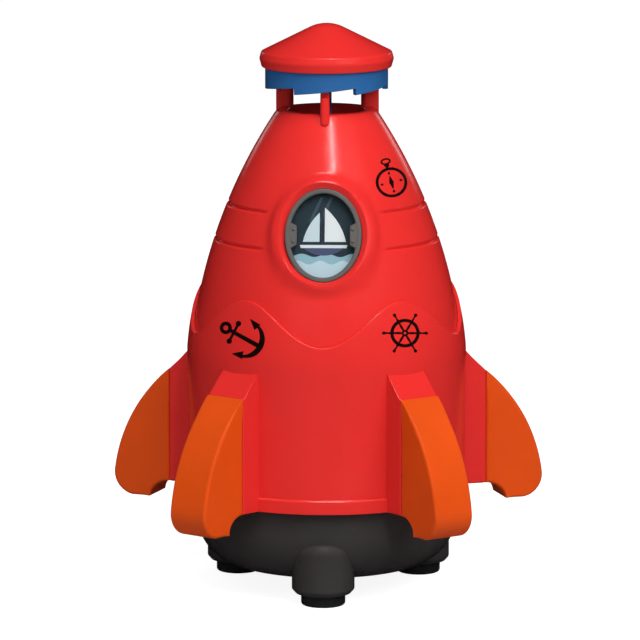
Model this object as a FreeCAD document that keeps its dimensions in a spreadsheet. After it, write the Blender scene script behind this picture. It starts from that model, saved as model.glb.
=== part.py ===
import FreeCAD, Part
import math
import operator
import os
import types
import Sketcher

# A rocket that water spins and lifts. A hose feeds the black base, a jet leaves the
# nozzle on top of the launch tube, passes up through the hollow rocket and strikes the
# vaned rotor under the cap. The rocket turns on a thrust ring and slides up the tube.
#
# Millimetres, +Z up. The origin is on the ground under the launch tube's axis.
# The rocket's window faces -Y and the hose comes in from +Y.

SIZES = {
    # Rocket shells. Heights of the shells count up from the skirt's lower edge.
    "skirt_bottom": 40.0,
    "skirt_radius": 57.4,
    "skirt_flare": 0.6,
    "shoulder_height": 60.0,
    "shell_wall": 2.2,
    "shell_fit": 0.15,
    "hem_height": 6.0,
    "hem_proud": 0.4,
    "lip_drop": 2.0,
    "lip_length": 8.5,
    "seam_height": 77.4,
    "seam_wave": 8.6,
    "seam_step": 1.2,
    "seam_bulge": 121.0,
    "nose_height": 159.5,
    "nose_arc": 220.0,
    "rim_radius": 20.5,
    "rim_wall": 4.3,
    "rim_depth": 5.5,
    "rim_round": 1.6,
    "lower_groove": 106.5,
    "upper_groove": 121.0,
    "groove_width": 2.0,
    "groove_depth": 0.8,
    # Window, measured along its own face.
    "window_height": 113.3,
    "boss_half_width": 23.5,
    "boss_half_height": 25.5,
    "boss_proud": 2.2,
    "port_half_width": 15.7,
    "port_half_height": 19.5,
    "bezel_depth": 0.4,
    "bezel_thick": 2.0,
    "bezel_rim": 2.0,
    "tab_reach": 5.2,
    "tab_half_height": 4.5,
    "rivet_radius": 0.8,
    "rivet_gap": 5.0,
    "rivet_proud": 0.4,
    "lens_thick": 1.4,
    "picture_thick": 0.5,
    "seat_reach": 4.3,
    "seat_wall": 2.6,
    "retainer_thick": 1.5,
    "stack_gap": 0.1,
    # Fins and their root blocks.
    "fin_width": 18.4,
    "block_reach": 9.6,
    "block_height": 48.0,
    "block_slope": 0.93,
    "block_sink": 1.2,
    "fin_reach": 25.0,
    "fin_tip_height": 4.0,
    "fin_foot_inset": 8.0,
    "fin_foot_drop": 7.0,
    "fin_foot_width": 8.0,
    "fin_back_arc": 68.0,
    "fin_toe_arc": 9.6,
    "fin_notch_arc": 9.0,
    "tenon_width": 9.8,
    "tenon_low": 7.0,
    "tenon_tall": 33.0,
    "tenon_deep": 7.8,
    "fin_screw_height": 22.5,
    # Open crown, rotor and cap.
    "post_width": 3.8,
    "post_set": 0.3,
    "post_reach": 3.8,
    "post_height": 7.3,
    "post_step": 2.3,
    "post_neck": 2.4,
    "bracket_thick": 3.2,
    "bracket_tenon": 2.0,
    "bracket_hub": 5.0,
    "hub_proud": 0.6,
    "stem_radius": 2.1,
    "stem_drop": 9.5,
    "running_fit": 0.05,
    "post_gap": 1.1,
    "ring_wall": 2.5,
    "ring_low": 8.2,
    "tooth_rise": 2.7,
    "rotor_gap": 0.2,
    "rotor_hub": 4.2,
    "rotor_hub_length": 5.8,
    "rotor_disc": 2.0,
    "vane_drop": 5.0,
    "vane_thick": 1.6,
    "vane_lean": 3.8,
    "clip_radius": 4.4,
    "clip_thick": 1.0,
    "cap_reach": 2.4,
    "cap_skirt": 4.0,
    "cap_band": 4.8,
    "cap_shoulder": 1.6,
    "cap_slope": 0.5,
    "cap_tip_arc": 15.3,
    "cap_wall": 2.4,
    "cap_under": 1.6,
    "cap_screw_radius": 14.0,
    # Base.
    "bowl_bottom": 9.2,
    "bowl_gap": 1.0,
    "bowl_arc": 19.8,
    "bowl_wall": 2.5,
    "bowl_rise": 12.0,
    "leg_inset": 10.2,
    "leg_radius": 12.9,
    "leg_bottom": 5.0,
    "leg_top": 26.0,
    "leg_wall": 2.7,
    "leg_floor": 3.0,
    "pad_radius": 9.1,
    "pad_stem": 3.0,
    "pad_head": 4.0,
    "cover_drop": 4.0,
    "cover_thick": 2.5,
    "cover_screw_inset": 14.2,
    "screw_boss": 3.6,
    "collar_wall": 4.0,
    "collar_height": 7.5,
    "drain_circle": 28.0,
    "drain_radius": 3.0,
    "tube_radius": 8.0,
    "tube_wall": 2.5,
    "tube_top": 150.0,
    "tube_flange_reach": 2.5,
    "tube_flange_thick": 2.0,
    "nozzle_length": 6.0,
    "nozzle_plug": 8.0,
    "nozzle_bore": 2.2,
    "seal_thick": 1.5,
    "manifold_wall": 4.5,
    "manifold_top": 36.0,
    "manifold_socket": 12.0,
    "manifold_lift": 0.3,
    "ear_reach": 7.5,
    "ear_height": 16.5,
    "ear_thick": 3.0,
    "inlet_height": 20.0,
    "inlet_pipe": 8.0,
    "inlet_bore": 4.5,
    "inlet_thread": 6.0,
    "inlet_pipe_inset": 16.2,
    "thread_length": 12.0,
    "inlet_boss": 8.8,
    "inlet_boss_proud": 0.8,
    "spigot_collar": 9.0,
    "spigot_collar_length": 5.5,
    "spigot_radius": 6.5,
    "spigot_length": 26.0,
    "filter_thick": 1.5,
    "filter_hole_circle": 2.7,
    # Thrust ring and guide tube.
    "ring_fit": 0.1,
    "face_gap": 0.05,
    "thrust_reach": 5.0,
    "thrust_thick": 3.9,
    "guide_gap": 0.4,
    "guide_wall": 2.4,
    "guide_flange_reach": 6.0,
    "guide_flange_thick": 2.5,
    "guide_length": 88.0,
    "guide_ring_width": 9.0,
    "guide_ring_thick": 2.5,
    "guide_arm_height": 18.0,
    "guide_arm_thick": 2.4,
    "body_screw_inset": 8.0,
    "lug_thick": 4.3,
    "lug_width": 9.0,
    # Self-tapping screws.
    "screw_radius": 1.4,
    "screw_head": 2.8,
    "screw_head_thick": 1.8,
    "screw_gap": 0.05,
}

FIN_NODES = ("fin_rear", "fin_left", "fin_front_left", "fin_front_right", "fin_right")
FINS = len(FIN_NODES)
LEGS = 3
POSTS = 3
TEETH = 6
VANES = 6
SIGNS = {"+": operator.add, "-": operator.sub, "*": operator.mul, "/": operator.truediv}


class Size:
    """A length with its value and the sheet expression that it comes from."""

    def __init__(self, value, text):
        self.value = float(value)
        self.text = text

    def __add__(self, other):
        return combine(self, "+", other)

    def __radd__(self, other):
        return combine(other, "+", self)

    def __sub__(self, other):
        return combine(self, "-", other)

    def __rsub__(self, other):
        return combine(other, "-", self)

    def __mul__(self, other):
        return combine(self, "*", other)

    def __rmul__(self, other):
        return combine(other, "*", self)

    def __truediv__(self, other):
        return combine(self, "/", other)

    def __rtruediv__(self, other):
        return combine(other, "/", self)

    def __neg__(self):
        return combine(0, "-", self)


def as_size(number):
    if isinstance(number, Size):
        return number
    return Size(number, f"{number:.9f}")


def combine(left, sign, right):
    left = as_size(left)
    right = as_size(right)
    value = SIGNS[sign](left.value, right.value)
    return Size(value, f"({left.text} {sign} {right.text})")


def root(size):
    return Size(math.sqrt(size.value), f"sqrt({size.text})")


def make_sheet(doc):
    """The driving dimensions, one cell each, and the same sizes for the code below."""
    sheet = doc.addObject("Spreadsheet::Sheet", "Sizes")
    for row, (name, value) in enumerate(SIZES.items(), start=1):
        sheet.set(f"A{row}", name)
        sheet.set(f"B{row}", str(value))
        sheet.setAlias(f"B{row}", name)
    doc.recompute()
    sizes = {name: Size(value, f"Sizes.{name}") for name, value in SIZES.items()}
    return types.SimpleNamespace(**sizes)


doc = FreeCAD.newDocument("WaterRocket")
s = make_sheet(doc)
nodes = []


# --- Levels and radii that several pieces share -------------------------------------

shoulder_z = s.skirt_bottom + s.shoulder_height
shoulder_radius = s.skirt_radius + s.skirt_flare
rim_z = s.skirt_bottom + s.nose_height
seam_z = s.skirt_bottom + s.seam_height
crest_z = seam_z + s.seam_wave
lip_z = shoulder_z - s.lip_drop
foot_z = lip_z + s.lip_length
foot_radius = shoulder_radius - s.shell_wall - s.shell_fit
block_top_z = s.skirt_bottom + s.block_height
block_radius = s.skirt_radius + s.block_reach
fin_radius = block_radius + s.fin_reach
fin_foot_radius = fin_radius - s.fin_foot_inset
fin_foot_z = s.skirt_bottom - s.fin_foot_drop
window_z = s.skirt_bottom + s.window_height
body_screw_circle = shoulder_radius - s.body_screw_inset
post_inner = s.rim_radius - s.rim_wall + s.post_set
post_outer = s.rim_radius + s.post_reach
ring_radius = post_outer + s.post_gap
cap_radius = ring_radius + s.cap_reach
post_top_z = rim_z + s.post_height
neck_top_z = post_top_z + s.post_neck
bracket_top_z = neck_top_z + s.bracket_thick
hub_low_z = neck_top_z - s.hub_proud
hub_top_z = bracket_top_z + s.hub_proud
ring_low_z = rim_z + s.ring_low
rotor_hub_z = hub_top_z + s.rotor_gap
disc_z = rotor_hub_z + s.rotor_hub_length
disc_top_z = disc_z + s.rotor_disc
cap_low_z = disc_top_z - s.cap_skirt
ring_bore = ring_radius - s.ring_wall
bowl_arc_z = s.bowl_bottom + s.bowl_arc
bowl_radius = s.skirt_radius - s.shell_wall - s.bowl_gap
bowl_flat = bowl_radius - s.bowl_arc
bowl_rim = s.skirt_bottom + s.bowl_rise
leg_circle = bowl_radius - s.leg_inset
cover_screw_circle = bowl_radius - s.cover_screw_inset
inlet_face = bowl_radius + s.inlet_boss_proud
inlet_pipe_end = bowl_radius - s.inlet_pipe_inset
bowl_floor_z = s.bowl_bottom + s.bowl_wall
bowl_inner = bowl_radius - s.bowl_wall
cover_z = bowl_rim - s.cover_drop
cover_top_z = cover_z + s.cover_thick
collar_top_z = cover_top_z + s.collar_height
thrust_top_z = collar_top_z + s.face_gap + s.thrust_thick
guide_z = thrust_top_z + s.face_gap
tube_bore = s.tube_radius - s.tube_wall
tube_flange = s.tube_radius + s.tube_flange_reach
collar_radius = s.tube_radius + s.collar_wall
thrust_radius = s.tube_radius + s.thrust_reach
guide_flange = s.tube_radius + s.guide_flange_reach
manifold_radius = s.tube_radius + s.manifold_wall
ear_circle = manifold_radius + s.ear_reach
guide_bore = s.tube_radius + s.guide_gap
guide_radius = guide_bore + s.guide_wall
tube_z = s.manifold_top - s.manifold_socket + s.shell_fit
flange_z = s.manifold_top + s.seal_thick
flange_top_z = flange_z + s.tube_flange_thick
spigot_z = inlet_face + s.seal_thick
spigot_tail = spigot_z + s.spigot_collar_length
spigot_end = spigot_tail + s.spigot_length
pilot_radius = s.screw_radius + s.screw_gap


def arc_centre(start, end, radius):
    """The centre of the counter-clockwise arc of that radius from start to end."""
    across = end[0] - start[0]
    up = end[1] - start[1]
    chord = root(across * across + up * up)
    rise = root(radius * radius - chord * chord / 4)
    middle = ((start[0] + end[0]) / 2, (start[1] + end[1]) / 2)
    return middle[0] - up / chord * rise, middle[1] + across / chord * rise


nose_centre = arc_centre((foot_radius, foot_z), (s.rim_radius, rim_z), s.nose_arc)


def nose_radius(height, proud=0):
    """The nose's outer radius at a height, on the arc that lies proud of its surface."""
    reach = s.nose_arc + proud
    up = height - nose_centre[1]
    return nose_centre[0] + root(reach * reach - up * up)


# --- Sketches and features ----------------------------------------------------------


def bind(item, path, size):
    """Set a property, and tie it to the sheet where the size comes from there."""
    size = as_size(size)
    if "Sizes." in size.text:
        item.setExpression(path, size.text)
    else:
        setattr(item, path, size.value)


def new_body(label):
    body = doc.addObject("PartDesign::Body", label)
    body.Label = label
    return body


def origin_feature(body, role):
    return next(part for part in body.Origin.OriginFeatures if part.Role == role)


def new_sketch(body, role, offset=0):
    """A sketch on one of the body's own planes, moved along the plane's normal."""
    sketch = body.newObject("Sketcher::SketchObject", f"{body.Label}_sketch")
    sketch.AttachmentSupport = [(origin_feature(body, role), "")]
    sketch.MapMode = "FlatFace"
    offset = as_size(offset)
    if offset.value:
        sketch.setExpression("AttachmentOffset.Base.z", offset.text)
    return sketch


def constrain(sketch, kind, where, size):
    size = as_size(size)
    index = sketch.addConstraint(Sketcher.Constraint(kind, *where, size.value))
    if "Sizes." in size.text:
        sketch.setExpression(f"Constraints[{index}]", size.text)


def pin_point(sketch, geometry, end, corner):
    constrain(sketch, "DistanceX", (-1, 1, geometry, end), corner[0])
    constrain(sketch, "DistanceY", (-1, 1, geometry, end), corner[1])


def vector(corner):
    return FreeCAD.Vector(as_size(corner[0]).value, as_size(corner[1]).value, 0)


def arc_between(start, end, radius):
    """A round stretch; a negative radius bends it clockwise. Returns it and its way."""
    size = as_size(radius)
    forward = size.value > 0
    first, last = (start, end) if forward else (end, start)
    reach = radius if forward else -radius
    centre = vector(arc_centre(first, last, as_size(reach)))
    circle = Part.Circle(centre, FreeCAD.Vector(0, 0, 1), abs(size.value))
    angles = []
    for point in (vector(first), vector(last)):
        angles.append(math.atan2(point.y - centre.y, point.x - centre.x))
    return Part.ArcOfCircle(circle, *angles), forward, reach


def draw_outline(sketch, corners, arcs=None):
    """A closed outline; arcs gives the radius of the stretch that leaves a corner."""
    arcs = arcs or {}
    corners = [(as_size(across), as_size(up)) for across, up in corners]
    ends = []
    for index, start in enumerate(corners):
        end = corners[(index + 1) % len(corners)]
        if index in arcs:
            curve, forward, reach = arc_between(start, end, arcs[index])
            sketch.addGeometry(curve)
            constrain(sketch, "Radius", (index,), reach)
            ends.append((1, 2) if forward else (2, 1))
        else:
            sketch.addGeometry(Part.LineSegment(vector(start), vector(end)))
            ends.append((1, 2))
    for index, corner in enumerate(corners):
        following = (index + 1) % len(corners)
        joint = Sketcher.Constraint("Coincident", index, ends[index][1], following, ends[following][0])
        sketch.addConstraint(joint)
        pin_point(sketch, index, ends[index][0], corner)


def draw_circles(sketch, centres, radius):
    for index, centre in enumerate(centres):
        circle = Part.Circle(vector(centre), FreeCAD.Vector(0, 0, 1), as_size(radius).value)
        sketch.addGeometry(circle)
        pin_point(sketch, index, 3, centre)
        constrain(sketch, "Radius", (index,), radius)


def turn(body, corners, arcs=None, cut=False):
    """Revolve an outline of (radius, height) corners about Z, to add or to cut."""
    sketch = new_sketch(body, "XZ_Plane")
    draw_outline(sketch, corners, arcs)
    kind = "Groove" if cut else "Revolution"
    feature = body.newObject(f"PartDesign::{kind}", f"{body.Label}_{kind.lower()}")
    feature.Profile = sketch
    feature.ReferenceAxis = (sketch, ["V_Axis"])
    feature.Angle = 360
    return feature


def extrude(body, sketch, length, cut=False, both_ways=False, backwards=False):
    """Pad along the sketch's normal, or pocket against it; backwards swaps the way."""
    kind = "Pocket" if cut else "Pad"
    feature = body.newObject(f"PartDesign::{kind}", f"{body.Label}_{kind.lower()}")
    feature.Profile = sketch
    bind(feature, "Length", length)
    feature.SideType = "Symmetric" if both_ways else "One side"
    feature.Reversed = backwards
    return feature


def rods(body, centres, radius, low, high, cut=False):
    """Upright round bosses, or bores, between two heights."""
    sketch = new_sketch(body, "XY_Plane", low)
    draw_circles(sketch, centres, radius)
    return extrude(body, sketch, high - low, cut=cut, backwards=cut)


def cross_rod(body, height, radius, low, high, cut=False):
    """A round boss, or a bore, along +Y at a height, between two distances."""
    sketch = new_sketch(body, "XZ_Plane", -as_size(low))
    draw_circles(sketch, [(0, height)], radius)
    return extrude(body, sketch, high - low, cut=cut, backwards=not cut)


def slab(body, corners, width, arcs=None, cut=False):
    """A plate across X from an outline of (Y, Z) corners."""
    sketch = new_sketch(body, "YZ_Plane")
    draw_outline(sketch, corners, arcs)
    return extrude(body, sketch, width, cut=cut, both_ways=True)


def repeat(body, feature, count):
    """Turn a feature about Z into a full circle of equal ones."""
    pattern = body.newObject("PartDesign::PolarPattern", f"{body.Label}_pattern")
    pattern.Originals = [feature]
    pattern.Axis = (origin_feature(body, "Z_Axis"), [""])
    pattern.Angle = 360
    pattern.Occurrences = count
    body.Tip = pattern
    return pattern


def rectangle(low, bottom, high, top):
    return [(low, bottom), (high, bottom), (high, top), (low, top)]


def turned(label, corners, arcs=None):
    body = new_body(label)
    turn(body, corners, arcs)
    return body


def tube(label, bore, radius, bottom, top):
    return turned(label, rectangle(bore, bottom, radius, top))


def at_angle(radius, degrees):
    """A point on a circle about Z; 0 degrees is the front, -Y, and 90 is +X."""
    turn_by = math.radians(degrees)
    return radius * math.sin(turn_by), radius * -math.cos(turn_by)


def on_circle(radius, angles):
    return [at_angle(radius, angle) for angle in angles]


def keep(item, node=None):
    """Name a finished piece and list it as a node to be written."""
    item.Label = node or item.Label
    nodes.append(item)
    return item


# --- Rocket shells ------------------------------------------------------------------

BODY_SCREWS = (60, 180, 300)


def skirt_outline():
    hem_z = s.skirt_bottom + s.hem_height
    hem_radius = s.skirt_radius + s.skirt_flare * s.hem_height / s.shoulder_height
    crest_radius = nose_radius(crest_z)
    corners = [
        (s.skirt_radius - s.shell_wall, s.skirt_bottom),
        (s.skirt_radius + s.hem_proud, s.skirt_bottom),
        (s.skirt_radius + s.hem_proud, hem_z),
        (hem_radius, hem_z),
        (shoulder_radius, shoulder_z),
        (crest_radius + s.seam_step, crest_z),
        (nose_radius(crest_z, s.shell_fit), crest_z),
        (nose_radius(foot_z, s.shell_fit), foot_z),
    ]
    arcs = {4: s.seam_bulge, 6: -(s.nose_arc + s.shell_fit)}
    return corners, arcs


def cut_seam(body):
    """Scallop the skirt's upper edge: each notch is two crest arcs and a trough arc."""
    half_turn = math.pi / FINS
    reach = (nose_radius(crest_z) + s.seam_step) * math.sin(half_turn)
    rise = 2 * s.seam_wave
    bend = (reach * reach + rise * rise) / (4 * rise)
    above = crest_z + s.seam_wave
    corners = [
        (-reach, crest_z),
        (-reach / 2, seam_z),
        (reach / 2, seam_z),
        (reach, crest_z),
        (reach, above),
        (-reach, above),
    ]
    sketch = new_sketch(body, "XZ_Plane")
    draw_outline(sketch, corners, {0: -bend, 1: bend, 2: -bend})
    notch = extrude(body, sketch, 2 * shoulder_radius, cut=True, backwards=True)
    repeat(body, notch, FINS)


def root_block_outline():
    inner = s.skirt_radius - s.block_sink
    inner_top_z = block_top_z + s.block_slope * (block_radius - inner)
    return [
        (inner, s.skirt_bottom),
        (block_radius, s.skirt_bottom),
        (block_radius, block_top_z),
        (inner, inner_top_z),
    ]


def fin_socket_outline(gap):
    """The fin's tenon, in (Y, Z), grown by a gap on its buried sides."""
    low = s.skirt_bottom + s.tenon_low - gap
    high = s.skirt_bottom + s.tenon_low + s.tenon_tall + gap
    return rectangle(block_radius - s.tenon_deep - gap, low, block_radius + gap, high)


def make_skirt():
    body = new_body("skirt_shell")
    corners, arcs = skirt_outline()
    turn(body, corners, arcs)
    cut_seam(body)
    block = slab(body, root_block_outline(), s.fin_width)
    repeat(body, block, FINS)
    socket_width = s.tenon_width + 2 * s.shell_fit
    socket = slab(body, fin_socket_outline(s.shell_fit), socket_width, cut=True)
    repeat(body, socket, FINS)
    screw_z = s.skirt_bottom + s.fin_screw_height
    hole = cross_rod(body, screw_z, pilot_radius, s.skirt_radius / 2, block_radius, cut=True)
    repeat(body, hole, FINS)
    lug_top_z = lip_z - s.guide_ring_thick - 2 * s.shell_fit
    lug = slab(
        body,
        rectangle(
            body_screw_circle - s.screw_head - s.screw_gap,
            lug_top_z - s.lug_thick,
            shoulder_radius - s.shell_wall / 2,
            lug_top_z,
        ),
        s.lug_width,
    )
    repeat(body, lug, LEGS)
    centres = on_circle(body_screw_circle, BODY_SCREWS)
    rods(body, centres, pilot_radius, lug_top_z - s.lug_thick, lug_top_z, cut=True)
    return keep(body)


def nose_outline():
    """Outer arc, rounded rim, rim bore, inner arc and the lip inside the skirt."""
    rim_bore = s.rim_radius - s.rim_wall
    rim_low_z = rim_z - s.rim_depth
    inner_z = rim_low_z - s.rim_depth
    round_z = rim_z - s.rim_round
    corners = [
        (foot_radius - s.shell_wall, lip_z),
        (foot_radius, lip_z),
        (foot_radius, foot_z),
        (nose_radius(round_z), round_z),
        (s.rim_radius - s.rim_round, rim_z),
        (rim_bore, rim_z),
        (rim_bore, rim_low_z),
        (nose_radius(inner_z, -s.shell_wall), inner_z),
        (nose_radius(foot_z, -s.shell_wall), foot_z),
    ]
    arcs = {2: s.nose_arc, 3: 2 * s.rim_round, 7: -(s.nose_arc - s.shell_wall)}
    return corners, arcs


def cut_grooves(body):
    for level in (s.lower_groove, s.upper_groove):
        low = s.skirt_bottom + level - s.groove_width / 2
        high = low + s.groove_width
        corners = [
            (nose_radius(low, -s.groove_depth), low),
            (nose_radius(low, s.boss_proud), low),
            (nose_radius(high, s.boss_proud), high),
            (nose_radius(high, -s.groove_depth), high),
        ]
        turn(body, corners, cut=True)


def post_outline():
    """A front post in (Y, Z): a broad blade and a neck beside the rotor's ring."""
    foot = rim_z - s.rim_depth
    neck = post_outer - s.post_step
    return [
        (-post_outer, foot),
        (-post_inner, foot + s.rim_depth / 2),
        (-post_inner, neck_top_z),
        (-neck, neck_top_z),
        (-neck, post_top_z),
        (-post_outer, post_top_z),
    ]


def bracket_tenon_outline(gap):
    """The tenon on a post's neck in (Y, Z), grown sideways by a gap."""
    inner = post_inner + s.bracket_tenon / 2 - gap
    outer = post_outer - s.post_step - s.bracket_tenon / 2 + gap
    return rectangle(-outer, neck_top_z - gap, -inner, bracket_top_z)


def make_nose_body():
    body = new_body("nose_turning")
    corners, arcs = nose_outline()
    turn(body, corners, arcs)
    cut_grooves(body)
    post = slab(body, post_outline(), s.post_width)
    repeat(body, post, POSTS)
    tenon = slab(body, bracket_tenon_outline(0), s.bracket_tenon)
    repeat(body, tenon, POSTS)
    centres = on_circle(body_screw_circle, BODY_SCREWS)
    boss_top = foot_z + s.shell_wall
    rods(body, centres, s.screw_boss, lip_z, boss_top)
    rods(body, centres, pilot_radius, lip_z, boss_top - s.shell_wall, cut=True)
    return body


# --- Window -------------------------------------------------------------------------
# Window pieces are built flat, with X up the slope and Z outwards, and then placed.


def window_placement():
    """Origin on the nose's surface; X runs up the slope and Z points straight out."""
    across = (nose_radius(window_z) - nose_centre[0]).value
    up = (window_z - nose_centre[1]).value
    tilt = math.atan2(up, across)
    slope = FreeCAD.Vector(0, math.sin(tilt), math.cos(tilt))
    outward = FreeCAD.Vector(0, -math.cos(tilt), math.sin(tilt))
    sideways = outward.cross(slope)
    turn_to = FreeCAD.Rotation(slope, sideways, outward, "ZXY")
    return FreeCAD.Placement(FreeCAD.Vector(0, -nose_radius(window_z).value, window_z.value), turn_to)


def place_in_window(item):
    item.Placement = window_placement()
    return item


def oval(label, half_height, half_width, low, high):
    """An upright oval prism on the window's axis."""
    ring = doc.addObject("Part::Ellipse", f"{label}_edge")
    bind(ring, "MajorRadius", half_height)
    bind(ring, "MinorRadius", half_width)
    bind_base_z(ring, low)
    prism = doc.addObject("Part::Extrusion", label)
    prism.Base = ring
    prism.DirMode = "Custom"
    prism.Dir = FreeCAD.Vector(0, 0, 1)
    bind(prism, "LengthFwd", high - low)
    prism.Solid = True
    return prism


def bind_base_z(item, level):
    item.setExpression("Placement.Base.z", as_size(level).text)


def box(label, corner, extent):
    block = doc.addObject("Part::Box", label)
    for path, size in zip(("Length", "Width", "Height"), extent):
        bind(block, path, size)
    for path, size in zip("xyz", corner):
        block.setExpression(f"Placement.Base.{path}", as_size(size).text)
    return block


def boolean(kind, label, base, tool):
    result = doc.addObject(f"Part::{kind}", label)
    result.Base = base
    result.Tool = tool
    return result


bezel_top = -s.bezel_depth
bezel_low = bezel_top - s.bezel_thick
lens_low = bezel_low - s.stack_gap - s.lens_thick
picture_low = lens_low - s.stack_gap - s.picture_thick
seat_low = -(s.shell_wall + s.seat_reach)
retainer_low = seat_low - s.stack_gap - s.retainer_thick
port_height = s.port_half_height + s.stack_gap
port_width = s.port_half_width + s.stack_gap
seat_height = port_height + s.seat_wall
seat_width = port_width + s.seat_wall


def make_boss(placed):
    """The raised oval round the window: a thickened stretch of the nose's own arc."""
    low = window_z - s.boss_half_height
    high = window_z + s.boss_half_height
    sink = s.shell_wall / 2
    band = turned(
        "boss_band",
        [
            (nose_radius(low, -sink), low),
            (nose_radius(low, s.boss_proud), low),
            (nose_radius(high, s.boss_proud), high),
            (nose_radius(high, -sink), high),
        ],
        {1: s.nose_arc + s.boss_proud, 3: -(s.nose_arc - sink)},
    )
    reach = s.boss_half_width
    outline = placed(oval("boss_oval", s.boss_half_height, reach, -reach, reach))
    return boolean("Common", "boss", band, outline)


def make_seat(placed):
    """The wall behind the port that holds the lens; it stays inside the nose's skin."""
    wall = oval("seat_wall", seat_height, seat_width, seat_low, s.boss_proud)
    low = window_z - 2 * s.boss_half_height
    high = window_z + s.boss_half_height
    core = turned(
        "seat_core",
        [
            (0, low),
            (nose_radius(low, -s.groove_depth), low),
            (nose_radius(high, -s.groove_depth), high),
            (0, high),
        ],
        {1: s.nose_arc - s.groove_depth},
    )
    return boolean("Common", "seat", core, placed(wall))


def make_nose():
    placed = place_in_window
    shell = boolean("Fuse", "nose_with_boss", make_nose_body(), make_boss(placed))
    seated = boolean("Fuse", "nose_with_seat", shell, make_seat(placed))
    reach = s.boss_half_width
    port = placed(oval("port", port_height, port_width, -reach, reach))
    return keep(boolean("Cut", "nose_shell", seated, port))


def make_bezel():
    """An oval ring with a tab on each side that carries two rivets."""
    outer = oval("bezel_outer", s.port_half_height, s.port_half_width, bezel_low, bezel_top)
    inner_height = s.port_half_height - s.bezel_rim
    inner_width = s.port_half_width - s.bezel_rim
    inner = oval("bezel_inner", inner_height, inner_width, bezel_low, bezel_top)
    ring = boolean("Cut", "bezel_ring", outer, inner)
    reach = s.port_half_width - s.tab_reach
    tall = 2 * s.tab_half_height
    wide = s.tab_reach - s.bezel_rim / 2
    for name, across in (("tab_right", -reach - wide), ("tab_left", reach)):
        tab = box(name, (-s.tab_half_height, across, bezel_low), (tall, wide, s.bezel_thick))
        ring = boolean("Fuse", f"bezel_{name}", ring, tab)
    for number, centre in enumerate(rivet_centres()):
        hole = stud(f"rivet_hole_{number}", centre, s.rivet_radius + s.screw_gap, bezel_low, bezel_top)
        ring = boolean("Cut", f"bezel_cut_{number}", ring, hole)
    return keep(place_in_window(ring), "window_bezel")


def rivet_centres():
    across = s.port_half_width - s.bezel_rim - s.tab_reach / 3
    up = s.rivet_gap / 2
    return [(up, across), (-up, across), (up, -across), (-up, -across)]


def stud(label, centre, radius, low, high):
    rod = doc.addObject("Part::Cylinder", label)
    bind(rod, "Radius", radius)
    bind(rod, "Height", high - low)
    for path, size in zip("xyz", (*centre, low)):
        rod.setExpression(f"Placement.Base.{path}", as_size(size).text)
    return rod


def make_rivets():
    studs = []
    for number, centre in enumerate(rivet_centres()):
        high = bezel_top + s.rivet_proud
        studs.append(stud(f"rivet_{number}", centre, s.rivet_radius, bezel_low, high))
    group = doc.addObject("Part::MultiFuse", "window_rivets")
    group.Shapes = studs
    return keep(place_in_window(group))


def make_window():
    make_bezel()
    make_rivets()
    layers = (
        ("window_lens", s.port_half_height, s.port_half_width, lens_low, s.lens_thick),
        ("window_picture", s.port_half_height, s.port_half_width, picture_low, s.picture_thick),
    )
    for label, half_height, half_width, low, thick in layers:
        layer = oval(label, half_height, half_width, low, low + thick)
        keep(place_in_window(layer))
    flange = oval("retainer_flange", seat_height, seat_width, retainer_low, retainer_low + s.retainer_thick)
    plug_top = picture_low - s.stack_gap
    plug = oval("retainer_plug", s.port_half_height, s.port_half_width, retainer_low, plug_top)
    keep(place_in_window(boolean("Fuse", "window_retainer", flange, plug)))


# --- Fins ---------------------------------------------------------------------------


def fin_outline():
    """Side view in (Y, Z): convex back, rounded toe, flat foot, hollow heel, root."""
    toe_z = s.skirt_bottom + s.fin_tip_height
    heel = fin_foot_radius - s.fin_foot_width
    corners = [
        (block_radius, block_top_z),
        (block_radius, s.skirt_bottom),
        (heel, fin_foot_z),
        (fin_foot_radius, fin_foot_z),
        (fin_radius, toe_z),
    ]
    arcs = {1: -s.fin_notch_arc, 3: s.fin_toe_arc, 4: s.fin_back_arc}
    return corners, arcs


def make_fin(node, number):
    body = new_body(node)
    corners, arcs = fin_outline()
    slab(body, corners, s.fin_width, arcs)
    slab(body, fin_socket_outline(0), s.tenon_width)
    screw_z = s.skirt_bottom + s.fin_screw_height
    depth = block_radius - s.tenon_deep
    cross_rod(body, screw_z, pilot_radius, depth, block_radius, cut=True)
    body.Placement.Rotation = FreeCAD.Rotation(FreeCAD.Vector(0, 0, 1), 360 / FINS * number)
    return keep(body)


def make_fin_screws():
    """Screws from inside the skirt out into the fins' tenons."""
    seat = s.skirt_radius - s.shell_wall
    length = block_radius - s.shell_wall - seat
    screw_z = s.skirt_bottom + s.fin_screw_height
    screws = []
    for number in range(FINS):
        screw = make_screw(f"fin_screw_{number}", (0, 0), seat, length)
        outward = FreeCAD.Rotation(FreeCAD.Vector(1, 0, 0), -90)
        around = FreeCAD.Rotation(FreeCAD.Vector(0, 0, 1), 360 / FINS * number)
        screw.Placement = FreeCAD.Placement(FreeCAD.Vector(0, 0, screw_z.value), around * outward)
        screws.append(screw)
    return keep(group("fin_screws", screws))


# --- Rotor, bracket and cap ---------------------------------------------------------


def make_bracket():
    """Three arms on the posts' necks and a hub that carries the rotor's stem."""
    body = new_body("axle_bracket")
    bore = s.stem_radius + s.running_fit
    turn(body, rectangle(bore, hub_low_z, s.bracket_hub, hub_top_z))
    neck = post_outer - s.post_step
    inner = (s.stem_radius + s.bracket_hub) / 2
    arm = slab(body, rectangle(-neck, neck_top_z, -inner, bracket_top_z), s.post_width)
    repeat(body, arm, POSTS)
    slot_width = s.bracket_tenon + 2 * s.shell_fit
    slot = slab(body, bracket_tenon_outline(s.shell_fit), slot_width, cut=True)
    repeat(body, slot, POSTS)
    return keep(body)


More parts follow.
